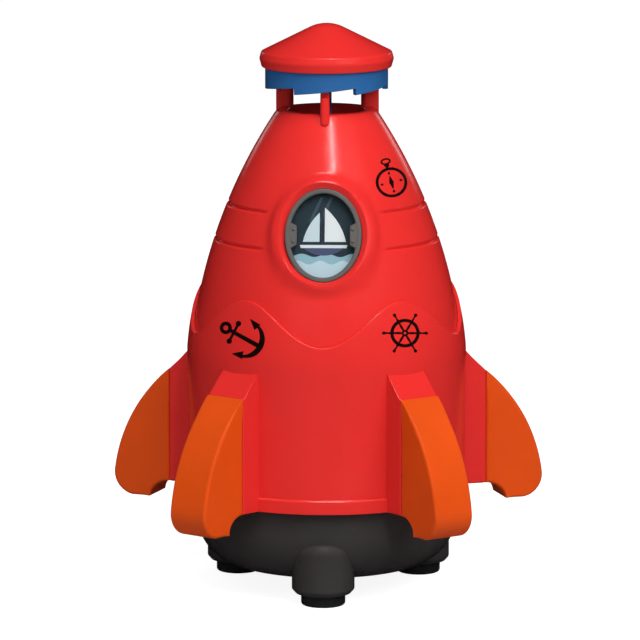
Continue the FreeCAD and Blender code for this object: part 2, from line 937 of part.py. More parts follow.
def rotor_outline():
    tip_z = rim_z - s.stem_drop
    return [
        (0, tip_z),
        (s.stem_radius / 2, tip_z),
        (s.stem_radius, tip_z + s.stem_radius),
        (s.stem_radius, rotor_hub_z),
        (s.rotor_hub, rotor_hub_z),
        (s.rotor_hub, disc_z),
        (ring_bore, disc_z),
        (ring_bore, ring_low_z),
        (ring_radius, ring_low_z),
        (ring_radius, disc_top_z),
        (0, disc_top_z),
    ]


def cut_teeth(body):
    """Ramps along the ring's lower edge, low at the left end and high at the right."""
    reach = ring_radius * math.sin(math.pi / TEETH)
    below = ring_low_z - s.tooth_rise
    corners = [(-reach, ring_low_z), (-reach, below), (reach, below), (reach, ring_low_z + s.tooth_rise)]
    sketch = new_sketch(body, "XZ_Plane", s.rotor_hub)
    draw_outline(sketch, corners)
    ramp = extrude(body, sketch, ring_radius, cut=True, backwards=True)
    repeat(body, ramp, TEETH)


def add_vanes(body):
    """Leaning blades between the hub and the ring, under the disc."""
    low = disc_z - s.vane_drop
    inner = s.rotor_hub - s.screw_gap
    corners = [
        (-s.vane_lean, low),
        (s.vane_thick - s.vane_lean, low),
        (s.vane_thick, disc_z),
        (0, disc_z),
    ]
    sketch = new_sketch(body, "YZ_Plane", inner)
    draw_outline(sketch, corners)
    vane = extrude(body, sketch, ring_bore + s.screw_gap - inner)
    repeat(body, vane, VANES)


def make_rotor():
    body = new_body("rotor")
    turn(body, rotor_outline())
    cut_teeth(body)
    add_vanes(body)
    centres = on_circle(s.cap_screw_radius, CAP_SCREWS)
    rods(body, centres, pilot_radius, disc_z, disc_top_z, cut=True)
    return keep(body)


CAP_SCREWS = (58, 178, 298)


def cap_height(radius):
    """The height of the cap's straight outer slope at a radius."""
    edge = cap_radius - s.cap_shoulder / 2
    return cap_low_z + s.cap_band + s.cap_shoulder + s.cap_slope * (edge - radius)


def make_cap():
    slope_sine = s.cap_slope / root(1 + s.cap_slope * s.cap_slope)
    slope_cosine = 1 / root(1 + s.cap_slope * s.cap_slope)
    tip_radius = s.cap_tip_arc * slope_sine
    tip_z = cap_height(tip_radius) + s.cap_tip_arc * (1 - slope_cosine)
    bore = ring_radius + s.shell_fit
    edge = cap_radius - s.cap_shoulder / 2
    corners = [
        (0, tip_z - s.cap_tip_arc * (1 - slope_cosine) - s.cap_wall),
        (tip_radius, cap_height(tip_radius) - s.cap_wall),
        (bore, cap_height(bore) - s.cap_wall),
        (bore, cap_low_z),
        (cap_radius - s.cap_under, cap_low_z),
        (cap_radius, cap_low_z + s.cap_under),
        (cap_radius, cap_low_z + s.cap_band),
        (edge, cap_height(edge)),
        (tip_radius, cap_height(tip_radius)),
        (0, tip_z),
    ]
    body = new_body("cap")
    turn(body, corners, {6: 2 * s.cap_shoulder, 8: s.cap_tip_arc})
    centres = on_circle(s.cap_screw_radius, CAP_SCREWS)
    boss_low = disc_top_z + s.shell_fit
    boss_high = cap_height(s.cap_screw_radius) - s.cap_wall + s.hem_proud
    rods(body, centres, s.screw_head, boss_low, boss_high)
    rods(body, centres, pilot_radius, boss_low, boss_high - s.screw_radius, cut=True)
    return keep(body)


def make_clip():
    """The push-on ring that holds the stem up in the bracket."""
    top = hub_low_z - s.rotor_gap
    return keep(tube("rotor_clip", s.stem_radius + s.screw_gap, s.clip_radius, top - s.clip_thick, top))


def make_screw(label, centre, seat, length):
    """A self-tapping screw along Z with its head under the seat and its shank above."""
    shank = stud(f"{label}_shank", centre, s.screw_radius, seat, seat + length)
    head = stud(f"{label}_head", centre, s.screw_head, seat - s.screw_head_thick, seat)
    return boolean("Fuse", label, shank, head)


def make_hanging_screw(label, centre, seat, length):
    """The same screw the other way up: its head on the seat and its shank below."""
    shank = stud(f"{label}_shank", centre, s.screw_radius, seat - length, seat)
    head = stud(f"{label}_head", centre, s.screw_head, seat, seat + s.screw_head_thick)
    return boolean("Fuse", label, shank, head)


def group(label, solids):
    """Like fasteners, each a solid of its own, written as one node."""
    compound = doc.addObject("Part::Compound", label)
    compound.Links = solids
    return compound


def screw_group(label, centres, seat, length, make=make_screw):
    screws = []
    for number, centre in enumerate(centres):
        screws.append(make(f"{label}_{number}", centre, seat, length))
    return keep(group(label, screws))


# --- Base ---------------------------------------------------------------------------

FOOT_ANGLES = {"foot_pad_front": 0, "foot_pad_right": 120, "foot_pad_left": 240}
COVER_SCREWS = (60, 150, 210, 300)
MANIFOLD_SCREWS = (90, 270)
FLOOR_DRAINS = (60, 300)
COVER_DRAINS = (0, 90, 180, 270)


def bowl_outline(inset, bottom, top):
    """The bowl's flat, corner arc and wall, moved inwards by an inset."""
    radius = bowl_radius - inset
    corners = [(0, bottom), (bowl_flat, bottom), (radius, bowl_arc_z), (radius, top), (0, top)]
    return corners, {1: s.bowl_arc - inset}


def bowl_height(radius):
    """The height of the bowl's outer corner arc at a radius."""
    across = radius - bowl_flat
    return bowl_arc_z - root(s.bowl_arc * s.bowl_arc - across * across)


def add_legs(body):
    """Three round legs that merge into the bowl."""
    centre = at_angle(leg_circle, 0)
    sketch = new_sketch(body, "XY_Plane", s.leg_bottom)
    draw_circles(sketch, [centre], s.leg_radius)
    leg = extrude(body, sketch, s.leg_top - s.leg_bottom)
    repeat(body, leg, LEGS)


def make_bowl():
    body = new_body("base_bowl")
    turn(body, *bowl_outline(0, s.bowl_bottom, bowl_rim))
    add_legs(body)
    cross_rod(body, s.inlet_height, s.inlet_boss, bowl_flat, inlet_face)
    turn(body, *bowl_outline(s.bowl_wall, bowl_floor_z, bowl_rim + s.bowl_wall), cut=True)
    legs = on_circle(leg_circle, FOOT_ANGLES.values())
    hollow_top = s.leg_top - s.leg_wall
    floor_z = s.leg_bottom + s.leg_floor
    rods(body, legs, s.leg_radius - s.leg_wall, floor_z, hollow_top, cut=True)
    rods(body, legs, s.pad_stem + s.screw_gap, s.leg_bottom, floor_z, cut=True)
    ears = on_circle(ear_circle, MANIFOLD_SCREWS)
    rods(body, ears, s.screw_boss, s.bowl_bottom + s.bowl_wall / 2, s.ear_height)
    bosses = on_circle(cover_screw_circle, COVER_SCREWS)
    boss_low = bowl_height(cover_screw_circle + s.screw_boss)
    rods(body, bosses, s.screw_boss, boss_low, cover_z)
    rods(body, bosses, pilot_radius, cover_z - s.collar_height - s.screw_gap, cover_z, cut=True)
    rods(body, ears, pilot_radius, bowl_floor_z, s.ear_height, cut=True)
    drains = on_circle(s.drain_circle, FLOOR_DRAINS)
    rods(body, drains, s.drain_radius, s.bowl_bottom, bowl_floor_z, cut=True)
    hole = s.inlet_thread + s.screw_gap
    cross_rod(body, s.inlet_height, hole, bowl_flat, inlet_face, cut=True)
    return keep(body)


def make_foot_pads():
    """Soft pads whose stems pass through the legs' floors to a round head."""
    floor_z = s.leg_bottom + s.leg_floor
    head_low = floor_z + s.screw_gap
    head_high = head_low + s.screw_head_thick
    for node, angle in FOOT_ANGLES.items():
        corners = [
            (0, 0),
            (s.pad_radius, 0),
            (s.pad_radius, s.leg_bottom),
            (s.pad_stem, s.leg_bottom),
            (s.pad_stem, head_low),
            (s.pad_head, head_low),
            (s.pad_stem, head_high),
            (0, head_high),
        ]
        pad = turned(node, corners)
        across, along = at_angle(1, angle)
        pad.setExpression("Placement.Base.x", (leg_circle * across).text)
        pad.setExpression("Placement.Base.y", (leg_circle * along).text)
        keep(pad)


def make_cover():
    """The disc that closes the bowl, its collar under the rocket and its tube clamp."""
    bore = s.tube_radius + s.ring_fit
    clamp_z = flange_top_z + s.shell_fit
    body = new_body("base_cover")
    turn(
        body,
        [
            (bore, clamp_z),
            (tube_flange, clamp_z),
            (tube_flange, cover_z),
            (bowl_inner - s.guide_gap, cover_z),
            (bowl_inner - s.guide_gap, cover_top_z),
            (collar_radius, cover_top_z),
            (collar_radius, collar_top_z),
            (bore, collar_top_z),
        ],
    )
    screws = on_circle(cover_screw_circle, COVER_SCREWS)
    rods(body, screws, pilot_radius, cover_z, cover_top_z, cut=True)
    drains = on_circle(s.drain_circle, COVER_DRAINS)
    rods(body, drains, s.drain_radius, cover_z, cover_top_z, cut=True)
    return keep(body)


def make_manifold():
    """A socket for the launch tube, fed by a pipe from the rear, on two screwed ears."""
    body = new_body("water_manifold")
    low = bowl_floor_z + s.manifold_lift
    turn(body, rectangle(0, low, manifold_radius, s.manifold_top))
    cross_rod(body, s.inlet_height, s.inlet_pipe - s.manifold_lift, 0, inlet_pipe_end)
    ears = on_circle(ear_circle, MANIFOLD_SCREWS)
    ear_top = s.ear_height + s.ear_thick
    sketch = new_sketch(body, "XY_Plane", s.ear_height)
    half = s.screw_boss
    draw_outline(sketch, rectangle(-ear_circle, -half, ear_circle, half))
    extrude(body, sketch, s.ear_thick)
    rods(body, ears, s.screw_boss, s.ear_height, ear_top)
    rods(body, ears, pilot_radius, s.ear_height, ear_top, cut=True)
    rods(body, [(0, 0)], s.tube_radius + s.screw_gap, tube_z - s.shell_fit, s.manifold_top, cut=True)
    chamber_low = s.inlet_height - tube_bore
    rods(body, [(0, 0)], tube_bore, chamber_low, s.manifold_top, cut=True)
    cross_rod(body, s.inlet_height, s.inlet_bore, 0, inlet_pipe_end, cut=True)
    port = inlet_pipe_end - s.thread_length
    cross_rod(body, s.inlet_height, s.inlet_thread + s.screw_gap, port, inlet_pipe_end, cut=True)
    return keep(body)


def make_launch_tube():
    corners = [
        (tube_bore, tube_z),
        (s.tube_radius, tube_z),
        (s.tube_radius, flange_z),
        (tube_flange, flange_z),
        (tube_flange, flange_top_z),
        (s.tube_radius, flange_top_z),
        (s.tube_radius, s.tube_top),
        (tube_bore, s.tube_top),
    ]
    keep(turned("launch_tube", corners))
    seal_bore = s.tube_radius + s.screw_gap
    keep(tube("tube_seal", seal_bore, tube_flange, s.manifold_top, flange_z))


def make_nozzle():
    """The jet's tip: a plug in the tube's mouth and a rounded head on it."""
    head_top = s.tube_top + s.nozzle_length
    plug = tube_bore - s.screw_gap
    corners = [
        (s.nozzle_bore, s.tube_top - s.nozzle_plug),
        (plug, s.tube_top - s.nozzle_plug),
        (plug, s.tube_top),
        (s.tube_radius, s.tube_top),
        (s.tube_radius, s.tube_top + s.nozzle_length / 2),
        (tube_bore, head_top),
        (s.nozzle_bore, head_top),
    ]
    return keep(turned("nozzle_tip", corners, {4: s.nozzle_length}))


def make_inlet():
    """The hose tail with its collar, the washer under it and the filter behind it."""
    port = inlet_pipe_end - s.thread_length
    filter_end = port + s.filter_thick
    spigot = new_body("inlet_spigot")
    start = filter_end + s.screw_gap
    cross_rod(spigot, s.inlet_height, s.inlet_thread, start, spigot_tail)
    cross_rod(spigot, s.inlet_height, s.spigot_collar, spigot_z, spigot_tail)
    cross_rod(spigot, s.inlet_height, s.spigot_radius, spigot_tail, spigot_end)
    cross_rod(spigot, s.inlet_height, s.inlet_bore, start, spigot_end, cut=True)
    keep(spigot)
    seal = new_body("inlet_seal")
    cross_rod(seal, s.inlet_height, s.inlet_boss, inlet_face, spigot_z)
    cross_rod(seal, s.inlet_height, s.inlet_thread + s.screw_gap, inlet_face, spigot_z, cut=True)
    keep(seal)
    screen = new_body("inlet_filter")
    cross_rod(screen, s.inlet_height, s.inlet_thread - s.screw_gap, port, filter_end)
    sketch = new_sketch(screen, "XZ_Plane", -port)
    hole_centres = [(0, s.inlet_height)]
    for across, up in on_circle(s.filter_hole_circle, range(0, 360, 60)):
        hole_centres.append((across, s.inlet_height + up))
    draw_circles(sketch, hole_centres, s.filter_thick / 2)
    extrude(screen, sketch, s.filter_thick, cut=True)
    keep(screen)


# --- Thrust ring and guide tube -----------------------------------------------------


def make_guide():
    """The rocket's own tube, its flange on the thrust ring, and a ring on three arms."""
    ring_top = lip_z - s.shell_fit
    ring_low = ring_top - s.guide_ring_thick
    ring_outer = shoulder_radius - s.shell_wall - s.guide_gap
    ring_inner = ring_outer - s.guide_ring_width
    body = new_body("guide_tube")
    flange_top = guide_z + s.guide_flange_thick
    turn(
        body,
        [
            (guide_bore, guide_z),
            (guide_flange, guide_z),
            (guide_flange, flange_top),
            (guide_radius, flange_top),
            (guide_radius, guide_z + s.guide_length),
            (guide_bore, guide_z + s.guide_length),
        ],
    )
    arm_low = ring_top - s.guide_arm_height
    arm_foot = (guide_bore + guide_radius) / 2
    arm_end = ring_inner + s.guide_ring_width / 2
    arm_corners = [
        (-arm_end, ring_top),
        (-arm_end, ring_low),
        (-arm_foot, arm_low),
        (-arm_foot, ring_top),
    ]
    arm = slab(body, arm_corners, s.guide_arm_thick)
    repeat(body, arm, LEGS)
    turn(body, rectangle(ring_inner, ring_low, ring_outer, ring_top))
    centres = on_circle(body_screw_circle, BODY_SCREWS)
    rods(body, centres, pilot_radius, ring_low, ring_top, cut=True)
    return keep(body)


def make_rocket():
    make_nose()
    make_skirt()
    make_guide()
    lug_low_z = lip_z - s.guide_ring_thick - 2 * s.shell_fit - s.lug_thick
    screw_length = foot_z - lug_low_z
    screw_group("body_screws", on_circle(body_screw_circle, BODY_SCREWS), lug_low_z, screw_length)
    for number, node in enumerate(FIN_NODES):
        make_fin(node, number)
    make_fin_screws()
    make_window()
    make_bracket()


def make_head():
    make_rotor()
    make_clip()
    make_cap()
    centres = on_circle(s.cap_screw_radius, CAP_SCREWS)
    screw_group("cap_screws", centres, disc_z, s.rotor_disc + s.cap_skirt)


def make_base():
    make_bowl()
    make_foot_pads()
    make_manifold()
    ears = on_circle(ear_circle, MANIFOLD_SCREWS)
    ear_top = s.ear_height + s.ear_thick
    manifold_screw = ear_top - bowl_floor_z - s.screw_gap
    screw_group("manifold_screws", ears, ear_top, manifold_screw, make_hanging_screw)
    make_launch_tube()
    make_nozzle()
    make_inlet()
    make_cover()
    bosses = on_circle(cover_screw_circle, COVER_SCREWS)
    cover_screw = s.cover_thick + s.collar_height
    screw_group("cover_screws", bosses, cover_top_z, cover_screw, make_hanging_screw)


def check_model():
    """Every object computed, and every node a closed, valid shape."""
    for item in doc.Objects:
        if "Invalid" in item.State or "Error" in item.State:
            raise RuntimeError(f"{item.Label} failed: {item.State} {item.getStatusString()}")
    for item in nodes:
        shape = item.Shape
        if shape.isNull() or not shape.isValid() or not shape.Solids:
            raise RuntimeError(f"{item.Label} has no valid solid")


make_base()
thrust_bore = s.tube_radius + s.ring_fit
keep(tube("thrust_ring", thrust_bore, thrust_radius, collar_top_z + s.face_gap, thrust_top_z))
make_rocket()
make_head()
doc.recompute()
check_model()

os.makedirs("parts", exist_ok=True)
for item in nodes:
    item.Shape.exportStep(f"parts/{item.Label}.step")
    print(f"{item.Label}: {len(item.Shape.Solids)} solids, {item.Shape.Volume:.0f} mm3")
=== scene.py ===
import math

import bmesh
import bpy
import numpy as np
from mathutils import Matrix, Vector, geometry


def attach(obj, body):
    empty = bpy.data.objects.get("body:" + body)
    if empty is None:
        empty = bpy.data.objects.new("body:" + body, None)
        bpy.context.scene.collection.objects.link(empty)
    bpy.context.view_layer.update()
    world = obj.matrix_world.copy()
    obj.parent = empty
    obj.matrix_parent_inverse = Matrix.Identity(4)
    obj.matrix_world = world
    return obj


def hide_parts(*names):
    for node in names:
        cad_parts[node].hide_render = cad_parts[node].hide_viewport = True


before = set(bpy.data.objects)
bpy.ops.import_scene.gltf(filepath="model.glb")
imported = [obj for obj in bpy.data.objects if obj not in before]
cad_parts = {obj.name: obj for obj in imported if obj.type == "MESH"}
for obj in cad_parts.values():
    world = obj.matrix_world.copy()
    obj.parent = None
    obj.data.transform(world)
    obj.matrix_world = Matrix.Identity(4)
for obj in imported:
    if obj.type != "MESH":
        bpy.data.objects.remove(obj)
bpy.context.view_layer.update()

bl_info = {
    "name": "Water Rocket",
    "version": (1, 0, 0),
    "blender": (4, 5, 0),
    "location": "View3D > Sidebar > Rocket",
    "description": "Builds the shells, fins, window, crown and base of a water rocket",
    "category": "Add Mesh",
}

# The rocket stands on the ground round the Z axis. Angles count from the front, -Y,
# and a quarter turn is +X. Lengths are metres, and MM turns millimetres into them.
MM = 0.001
FULL_TURN = 2 * math.pi
FINS = 5
FIN_NODES = ("fin_rear", "fin_left", "fin_front_left", "fin_front_right", "fin_right")
FIN_TURNS = (180, 252, 324, 36, 108)
POST_TURNS = (0, 120, 240)
LEG_TURNS = {"foot_pad_front": 0, "foot_pad_right": 120, "foot_pad_left": 240}
DRAIN_TURNS = (60, 300)
TEETH = 6
VANES = 6
# How far the camera looks down, which the signs are laid out for.
LOOK_DOWN = math.radians(9.33)
# How far the nose's bore and the posts' feet reach down from its rim.
BORE_DEPTH = 5.5 * MM
# How finely round pieces are turned.
COLUMNS = 192
SKIRT_COLUMNS = 300
# In the window's square of grid lines, from -1 to 1, the line that becomes the hole.
PORT_RING = 0.66


# --- Sizes and colours --------------------------------------------------------------


def length(name, millimetres, description):
    """A length that a user can change, given in millimetres and held in metres."""
    return bpy.props.FloatProperty(
        name=name, description=description, default=millimetres * MM, unit="LENGTH", precision=5
    )


def linear(level):
    """One channel of a screen colour, 0 to 255, as light: the usual two-part curve."""
    share = level / 255
    return share / 12.92 if share <= 0.04045 else ((share + 0.055) / 1.055) ** 2.4


def colour(name, red, green, blue, description):
    """A colour that a user can change, given as screen levels and held as light."""
    return bpy.props.FloatVectorProperty(
        name=name, description=description, subtype="COLOR", size=3, min=0, max=1,
        default=(linear(red), linear(green), linear(blue)),
    )


class RocketSizes(bpy.types.PropertyGroup):
    """The lengths that shape the rocket's shells, window, crown and base."""

    skirt_low: length("Skirt foot", 40.0, "Height of the skirt's lower edge")
    skirt_edge: length("Skirt edge", 0.35, "Rounding of the skirt's lower edge")
    skirt_radius: length("Skirt radius", 57.4, "Radius of the skirt at its foot")
    shoulder: length("Shoulder height", 100.0, "Height where the skirt starts to curve in")
    shoulder_radius: length("Shoulder radius", 58.0, "Radius of the skirt at its shoulder")
    shoulder_arc: length("Shoulder arc", 121.0, "Radius of the skirt's side view above its shoulder")
    seam: length("Seam height", 117.4, "Middle height of the wavy seam")
    seam_wave: length("Seam wave", 8.6, "Rise and fall of the wavy seam")
    seam_step: length("Seam step", 1.2, "How far the skirt stands out at a crest")
    seam_edge: length("Seam edge", 0.7, "Rounding of the wavy edge")
    hem_top: length("Hem top", 46.0, "Top of the band round the skirt's foot")
    hem_proud: length("Hem proud", 0.75, "How far the band stands out")
    wall: length("Wall", 2.2, "Wall of the skirt and the nose")
    fit: length("Fit", 0.15, "Gap between the two shells")
    nose_low: length("Nose foot", 98.0, "Lower edge of the nose inside the skirt")
    nose_foot: length("Nose spring", 106.5, "Height where the nose's curve starts")
    nose_foot_radius: length("Nose foot radius", 55.65, "Radius of the nose's lip")
    nose_arc: length("Nose curve", 220.0, "Radius of the nose's side view")
    rim: length("Rim height", 199.5, "Top of the nose")
    rim_radius: length("Rim radius", 20.5, "Outer radius of the nose's rim")
    rim_bore: length("Rim bore", 16.2, "Radius of the hole in the nose's top")
    rim_round: length("Rim rounding", 1.8, "Rounding of the nose's rim")
    lower_groove: length("Lower groove", 146.5, "Height of the lower groove")
    upper_groove: length("Upper groove", 161.0, "Height of the upper groove")
    groove_half: length("Groove half width", 1.1, "Half the width of a groove")
    groove_deep: length("Groove depth", 1.0, "Depth of a groove")
    window: length("Window height", 153.3, "Height of the window's centre")
    boss_half_width: length("Boss half width", 24.0, "Half the width of the raised oval")
    boss_half_height: length("Boss half height", 26.5, "Half the height of the raised oval")
    boss_proud: length("Boss proud", 2.2, "How far the oval stands out")
    port_half_width: length("Port half width", 15.8, "Half the width of the window's hole")
    port_half_height: length("Port half height", 19.6, "Half the height of the window's hole")
    port_bevel: length("Port bevel", 1.7, "Width of the slope round the hole")
    seat: length("Seat depth", 6.5, "Depth of the wall behind the hole")
    fin_width: length("Fin width", 18.4, "Width of a fin and of its block")
    block_radius: length("Block radius", 67.0, "Outer face of a fin's block")
    block_top: length("Block top", 88.0, "Height of a block's outer edge")
    fin_radius: length("Fin radius", 92.0, "Radius of a fin's tip")
    fin_tip: length("Fin tip", 44.0, "Height of a fin's tip")
    fin_foot: length("Fin foot", 33.0, "Height of a fin's foot")
    toe_inset: length("Toe inset", 8.0, "Distance from the fin's tip in to its toe")
    toe_arc: length("Toe arc", 9.6, "Radius of the round toe")
    foot_length: length("Foot length", 8.0, "Length of the fin's flat foot")
    heel_arc: length("Heel arc", 9.0, "Radius of the hollow heel")
    back_arc: length("Back arc", 68.0, "Radius of the fin's rounded back")
    fin_edge: length("Fin edge", 1.3, "Rounding of a fin's edges")
    post_outer: length("Post reach", 24.3, "Outer radius of a post")
    post_top: length("Post top", 206.8, "Height of a post's shoulder")
    post_width: length("Post width", 3.8, "Width of a post")
    ring_radius: length("Rotor radius", 25.4, "Outer radius of the rotor's ring")
    ring_wall: length("Rotor wall", 2.5, "Wall of the rotor's ring")
    ring_low: length("Rotor low edge", 207.7, "Lowest edge of the rotor's ring")
    tooth_rise: length("Tooth rise", 2.7, "Rise of each tooth of the ring")
    hub_radius: length("Hub radius", 4.2, "Radius of the rotor's hub")
    stem_radius: length("Stem radius", 2.1, "Radius of the rotor's stem")
    stem_drop: length("Stem drop", 9.5, "How far the stem's tip is below the nose's rim")
    disc_low: length("Disc underside", 219.0, "Underside of the rotor's disc")
    disc_top: length("Disc top", 221.0, "Top of the rotor's disc")
    cap_radius: length("Cap radius", 27.8, "Radius of the cap's rim")
    cap_low: length("Cap rim", 217.0, "Height of the cap's rim")
    cap_top: length("Cap top", 235.0, "Height of the cap's tip")
    bowl_radius: length("Bowl radius", 54.2, "Radius of the base")
    bowl_low: length("Bowl underside", 9.2, "Height of the base's underside")
    bowl_arc: length("Bowl corner", 19.8, "Radius of the base's lower corner")
    bowl_rim: length("Bowl rim", 52.0, "Height of the base's rim")
    bowl_wall: length("Bowl wall", 2.5, "Wall of the base")
    drain_circle: length("Drain circle", 28.0, "Radius of the circle of drain holes")
    drain_radius: length("Drain radius", 3.0, "Radius of a drain hole in the base")
    leg_circle: length("Leg circle", 44.0, "Radius of the circle of legs")
    leg_radius: length("Leg radius", 12.9, "Radius of a leg")
    leg_low: length("Leg foot", 5.0, "Height of a leg's underside")
    leg_top: length("Leg top", 27.5, "Height of a leg's domed top")


class RocketColours(bpy.types.PropertyGroup):
    """The colours of the rocket's mouldings."""

    shell: colour("Shell", 229, 47, 44, "Nose, skirt and cap")
    base: colour("Base", 57, 55, 55, "Bowl and cover")
    fin: colour("Fin", 224, 78, 12, "Fins")
    rotor: colour("Rotor", 40, 98, 158, "Rotor")
    tube: colour("Tube", 118, 122, 126, "Launch tube and guide")
    nylon: colour("Nylon", 226, 222, 210, "Thrust ring")
    rubber: colour("Rubber", 34, 34, 35, "Seals and foot pads")
    steel: colour("Steel", 176, 178, 180, "Screws")
    trim: colour("Trim", 92, 88, 86, "Window rim")
    print: colour("Print", 16, 7, 5, "Signs on the shells")


# --- Curves and surfaces ------------------------------------------------------------


def around(radius, height, angle):
    """Points at a radius and height: radius times (sine, minus cosine) of the angle."""
    radius, height, angle = np.broadcast_arrays(radius, height, angle)
    return np.stack([radius * np.sin(angle), -radius * np.cos(angle), height], axis=-1)


def grid_faces(columns, rows, wrap_columns=False, wrap_rows=False):
    """Quads between neighbours of a grid; they face column direction × row direction."""
    column, row = np.meshgrid(
        np.arange(columns if wrap_columns else columns - 1),
        np.arange(rows if wrap_rows else rows - 1),
        indexing="ij",
    )
    beside = (column + 1) % columns
    above = (row + 1) % rows
    corners = [column * rows + row, beside * rows + row, beside * rows + above, column * rows + above]
    return np.stack(corners, axis=-1)


def smooth_step(share):
    """From 0 to 1 with level ends: three times the square less twice the cube."""
    share = np.clip(share, 0, 1)
    return share * share * (3 - 2 * share)


def arc(start, end, radius, steps=16):
    """Points on the circle of that radius from start to end; negative bends clockwise."""
    start, end = np.asarray(start, float), np.asarray(end, float)
    chord = end - start
    half = np.hypot(*chord) / 2
    rise = math.sqrt(radius * radius - half * half) * np.sign(radius)
    centre = (start + end) / 2 + np.array([-chord[1], chord[0]]) / (2 * half) * rise
    first, last = start - centre, end - centre
    sweep = 2 * math.asin(half / abs(radius))
    share = np.linspace(0, 1, steps + 1)[:, None]
    return centre + (np.sin((1 - share) * sweep) * first + np.sin(share * sweep) * last) / math.sin(sweep)


def rounded(corners, radii, steps=6):
    """A closed outline whose corners are cut by arcs that touch both their sides."""
    corners = np.asarray(corners, float)
    radii = np.broadcast_to(radii, len(corners))
    outline = []
    for index, corner in enumerate(corners):
        back = corners[index - 1] - corner
        ahead = corners[(index + 1) % len(corners)] - corner
        reach = min(np.hypot(*back), np.hypot(*ahead)) * 0.49
        back, ahead = back / np.hypot(*back), ahead / np.hypot(*ahead)
        opening = math.acos(np.clip(back @ ahead, -1, 1))
        if radii[index] <= 0 or opening > math.radians(179):
            outline.append(corner[None])
            continue
        cut = min(radii[index] / math.tan(opening / 2), reach)
        radius = cut * math.tan(opening / 2)
        centre = corner + (back + ahead) / np.hypot(*(back + ahead)) * radius / math.sin(opening / 2)
        first, last = corner + back * cut - centre, corner + ahead * cut - centre
        sweep = math.pi - opening
        share = np.linspace(0, 1, steps + 1)[:, None]
        blend = np.sin((1 - share) * sweep) * first + np.sin(share * sweep) * last
        outline.append(centre + blend / math.sin(sweep))
    return np.concatenate(outline)


def ellipse(half_width, half_height, steps=96):
    """Half the width times the cosine, and half the height times the sine."""
    turn = np.linspace(0, FULL_TURN, steps, endpoint=False)
    return np.stack([half_width * np.cos(turn), half_height * np.sin(turn)], axis=-1)


class Shell:
    """Patches of points and faces that become one mesh, each patch with its tint."""

    def __init__(self):
        self.points, self.faces, self.tints = [], [], []
        self.count = 0

    def add(self, points, faces, tint=(1, 1, 1)):
        """Add a patch; its faces are one array, or a list of arrays, of its own points."""
        points = np.asarray(points, float).reshape(-1, 3)
        self.points.append(points)
        for patch in faces if isinstance(faces, list) else [faces]:
            patch = np.asarray(patch)
            self.faces += (patch.reshape(-1, patch.shape[-1]) + self.count).tolist()
        self.tints.append(np.tile(np.array([*tint, 1.0]), (len(points), 1)))
        self.count += len(points)
        return self

    def mesh(self, name, sharp_angle):
        """One smooth mesh of all patches, joined where their points meet."""
        mesh = bpy.data.meshes.new(name)
        mesh.from_pydata(np.concatenate(self.points).tolist(), [], self.faces)
        tint = mesh.attributes.new("Tint", "FLOAT_COLOR", "POINT")
        tint.data.foreach_set("color", np.concatenate(self.tints).astype(np.float32).ravel())
        work = bmesh.new()
        work.from_mesh(mesh)
        bmesh.ops.remove_doubles(work, verts=work.verts, dist=0.0005 * MM)
        work.to_mesh(mesh)
        work.free()
        mesh.polygons.foreach_set("use_smooth", np.ones(len(mesh.polygons), bool))
        mesh.set_sharp_from_angle(angle=math.radians(sharp_angle))
        return mesh


def lathe(profile, columns=COLUMNS, closed=True):
    """An outline of (radius, height), up its outer side, turned about Z."""
    profile = np.asarray(profile, float)
    angle = np.linspace(0, FULL_TURN, columns, endpoint=False)[:, None]
    points = around(profile[None, :, 0], profile[None, :, 1], angle)
    return points, grid_faces(columns, len(profile), True, closed)


def plate(outline, width, edge, steps=5):
    """A slab whose rim is a half round of quarter circles.

    The outline is drawn in along its own normals by edge times (1 - sine) while its
    level falls by edge times (1 - cosine) from the flat face. The edge may be one
    length, or one for each point where it has to shrink towards a sharp corner.
    """
    outline = np.asarray(outline, float)
    edge = np.broadcast_to(edge, len(outline))[:, None]
    tangent = np.roll(outline, -1, axis=0) - np.roll(outline, 1, axis=0)
    normal = np.stack([tangent[:, 1], -tangent[:, 0]], axis=-1)
    normal /= np.hypot(*normal.T)[:, None]
    turn = np.linspace(0, math.pi / 2, steps + 1)
    inset = edge * (1 - np.sin(turn))
    level = width / 2 - edge * (1 - np.cos(turn))
    insets = np.concatenate([inset, inset[:, ::-1]], axis=1)
    levels = np.concatenate([-level, level[:, ::-1]], axis=1)
    flat = outline[:, None] - normal[:, None] * insets[..., None]
    points = np.concatenate([flat, levels[..., None]], axis=-1)
    count, rings = insets.shape
    side = grid_faces(count, rings, True, False)
    ring = np.arange(count) * rings
    return points, [side, ring[None, ::-1], ring[None] + rings - 1]


def stand(points, degrees):
    """Set (outwards, up, across) points upright at an angle round the Z axis."""
    turn = math.radians(degrees)
    outwards = np.array([math.sin(turn), -math.cos(turn), 0])
    across = np.array([-math.cos(turn), -math.sin(turn), 0])
    points = np.asarray(points, float)
    return points[..., :1] * outwards + points[..., 1:2] * np.array([0, 0, 1]) + points[..., 2:] * across


def make_piece(context, shell, name, body, slot, replaces=(), ink=None, sharp_angle=40):
    """Make the shell one object that rides on a body and stands for CAD nodes."""
    mesh = shell.mesh(name, sharp_angle)
    piece = bpy.data.objects.new(name, mesh)
    context.scene.collection.objects.link(piece)
    mesh.materials.append(finish(context, ink or slot))
    shade = piece.modifiers.new("even_shading", "WEIGHTED_NORMAL")
    shade.keep_sharp = True
    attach(piece, body)
    if replaces:
        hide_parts(*replaces)
    return piece


# --- The nose's own surface ---------------------------------------------------------


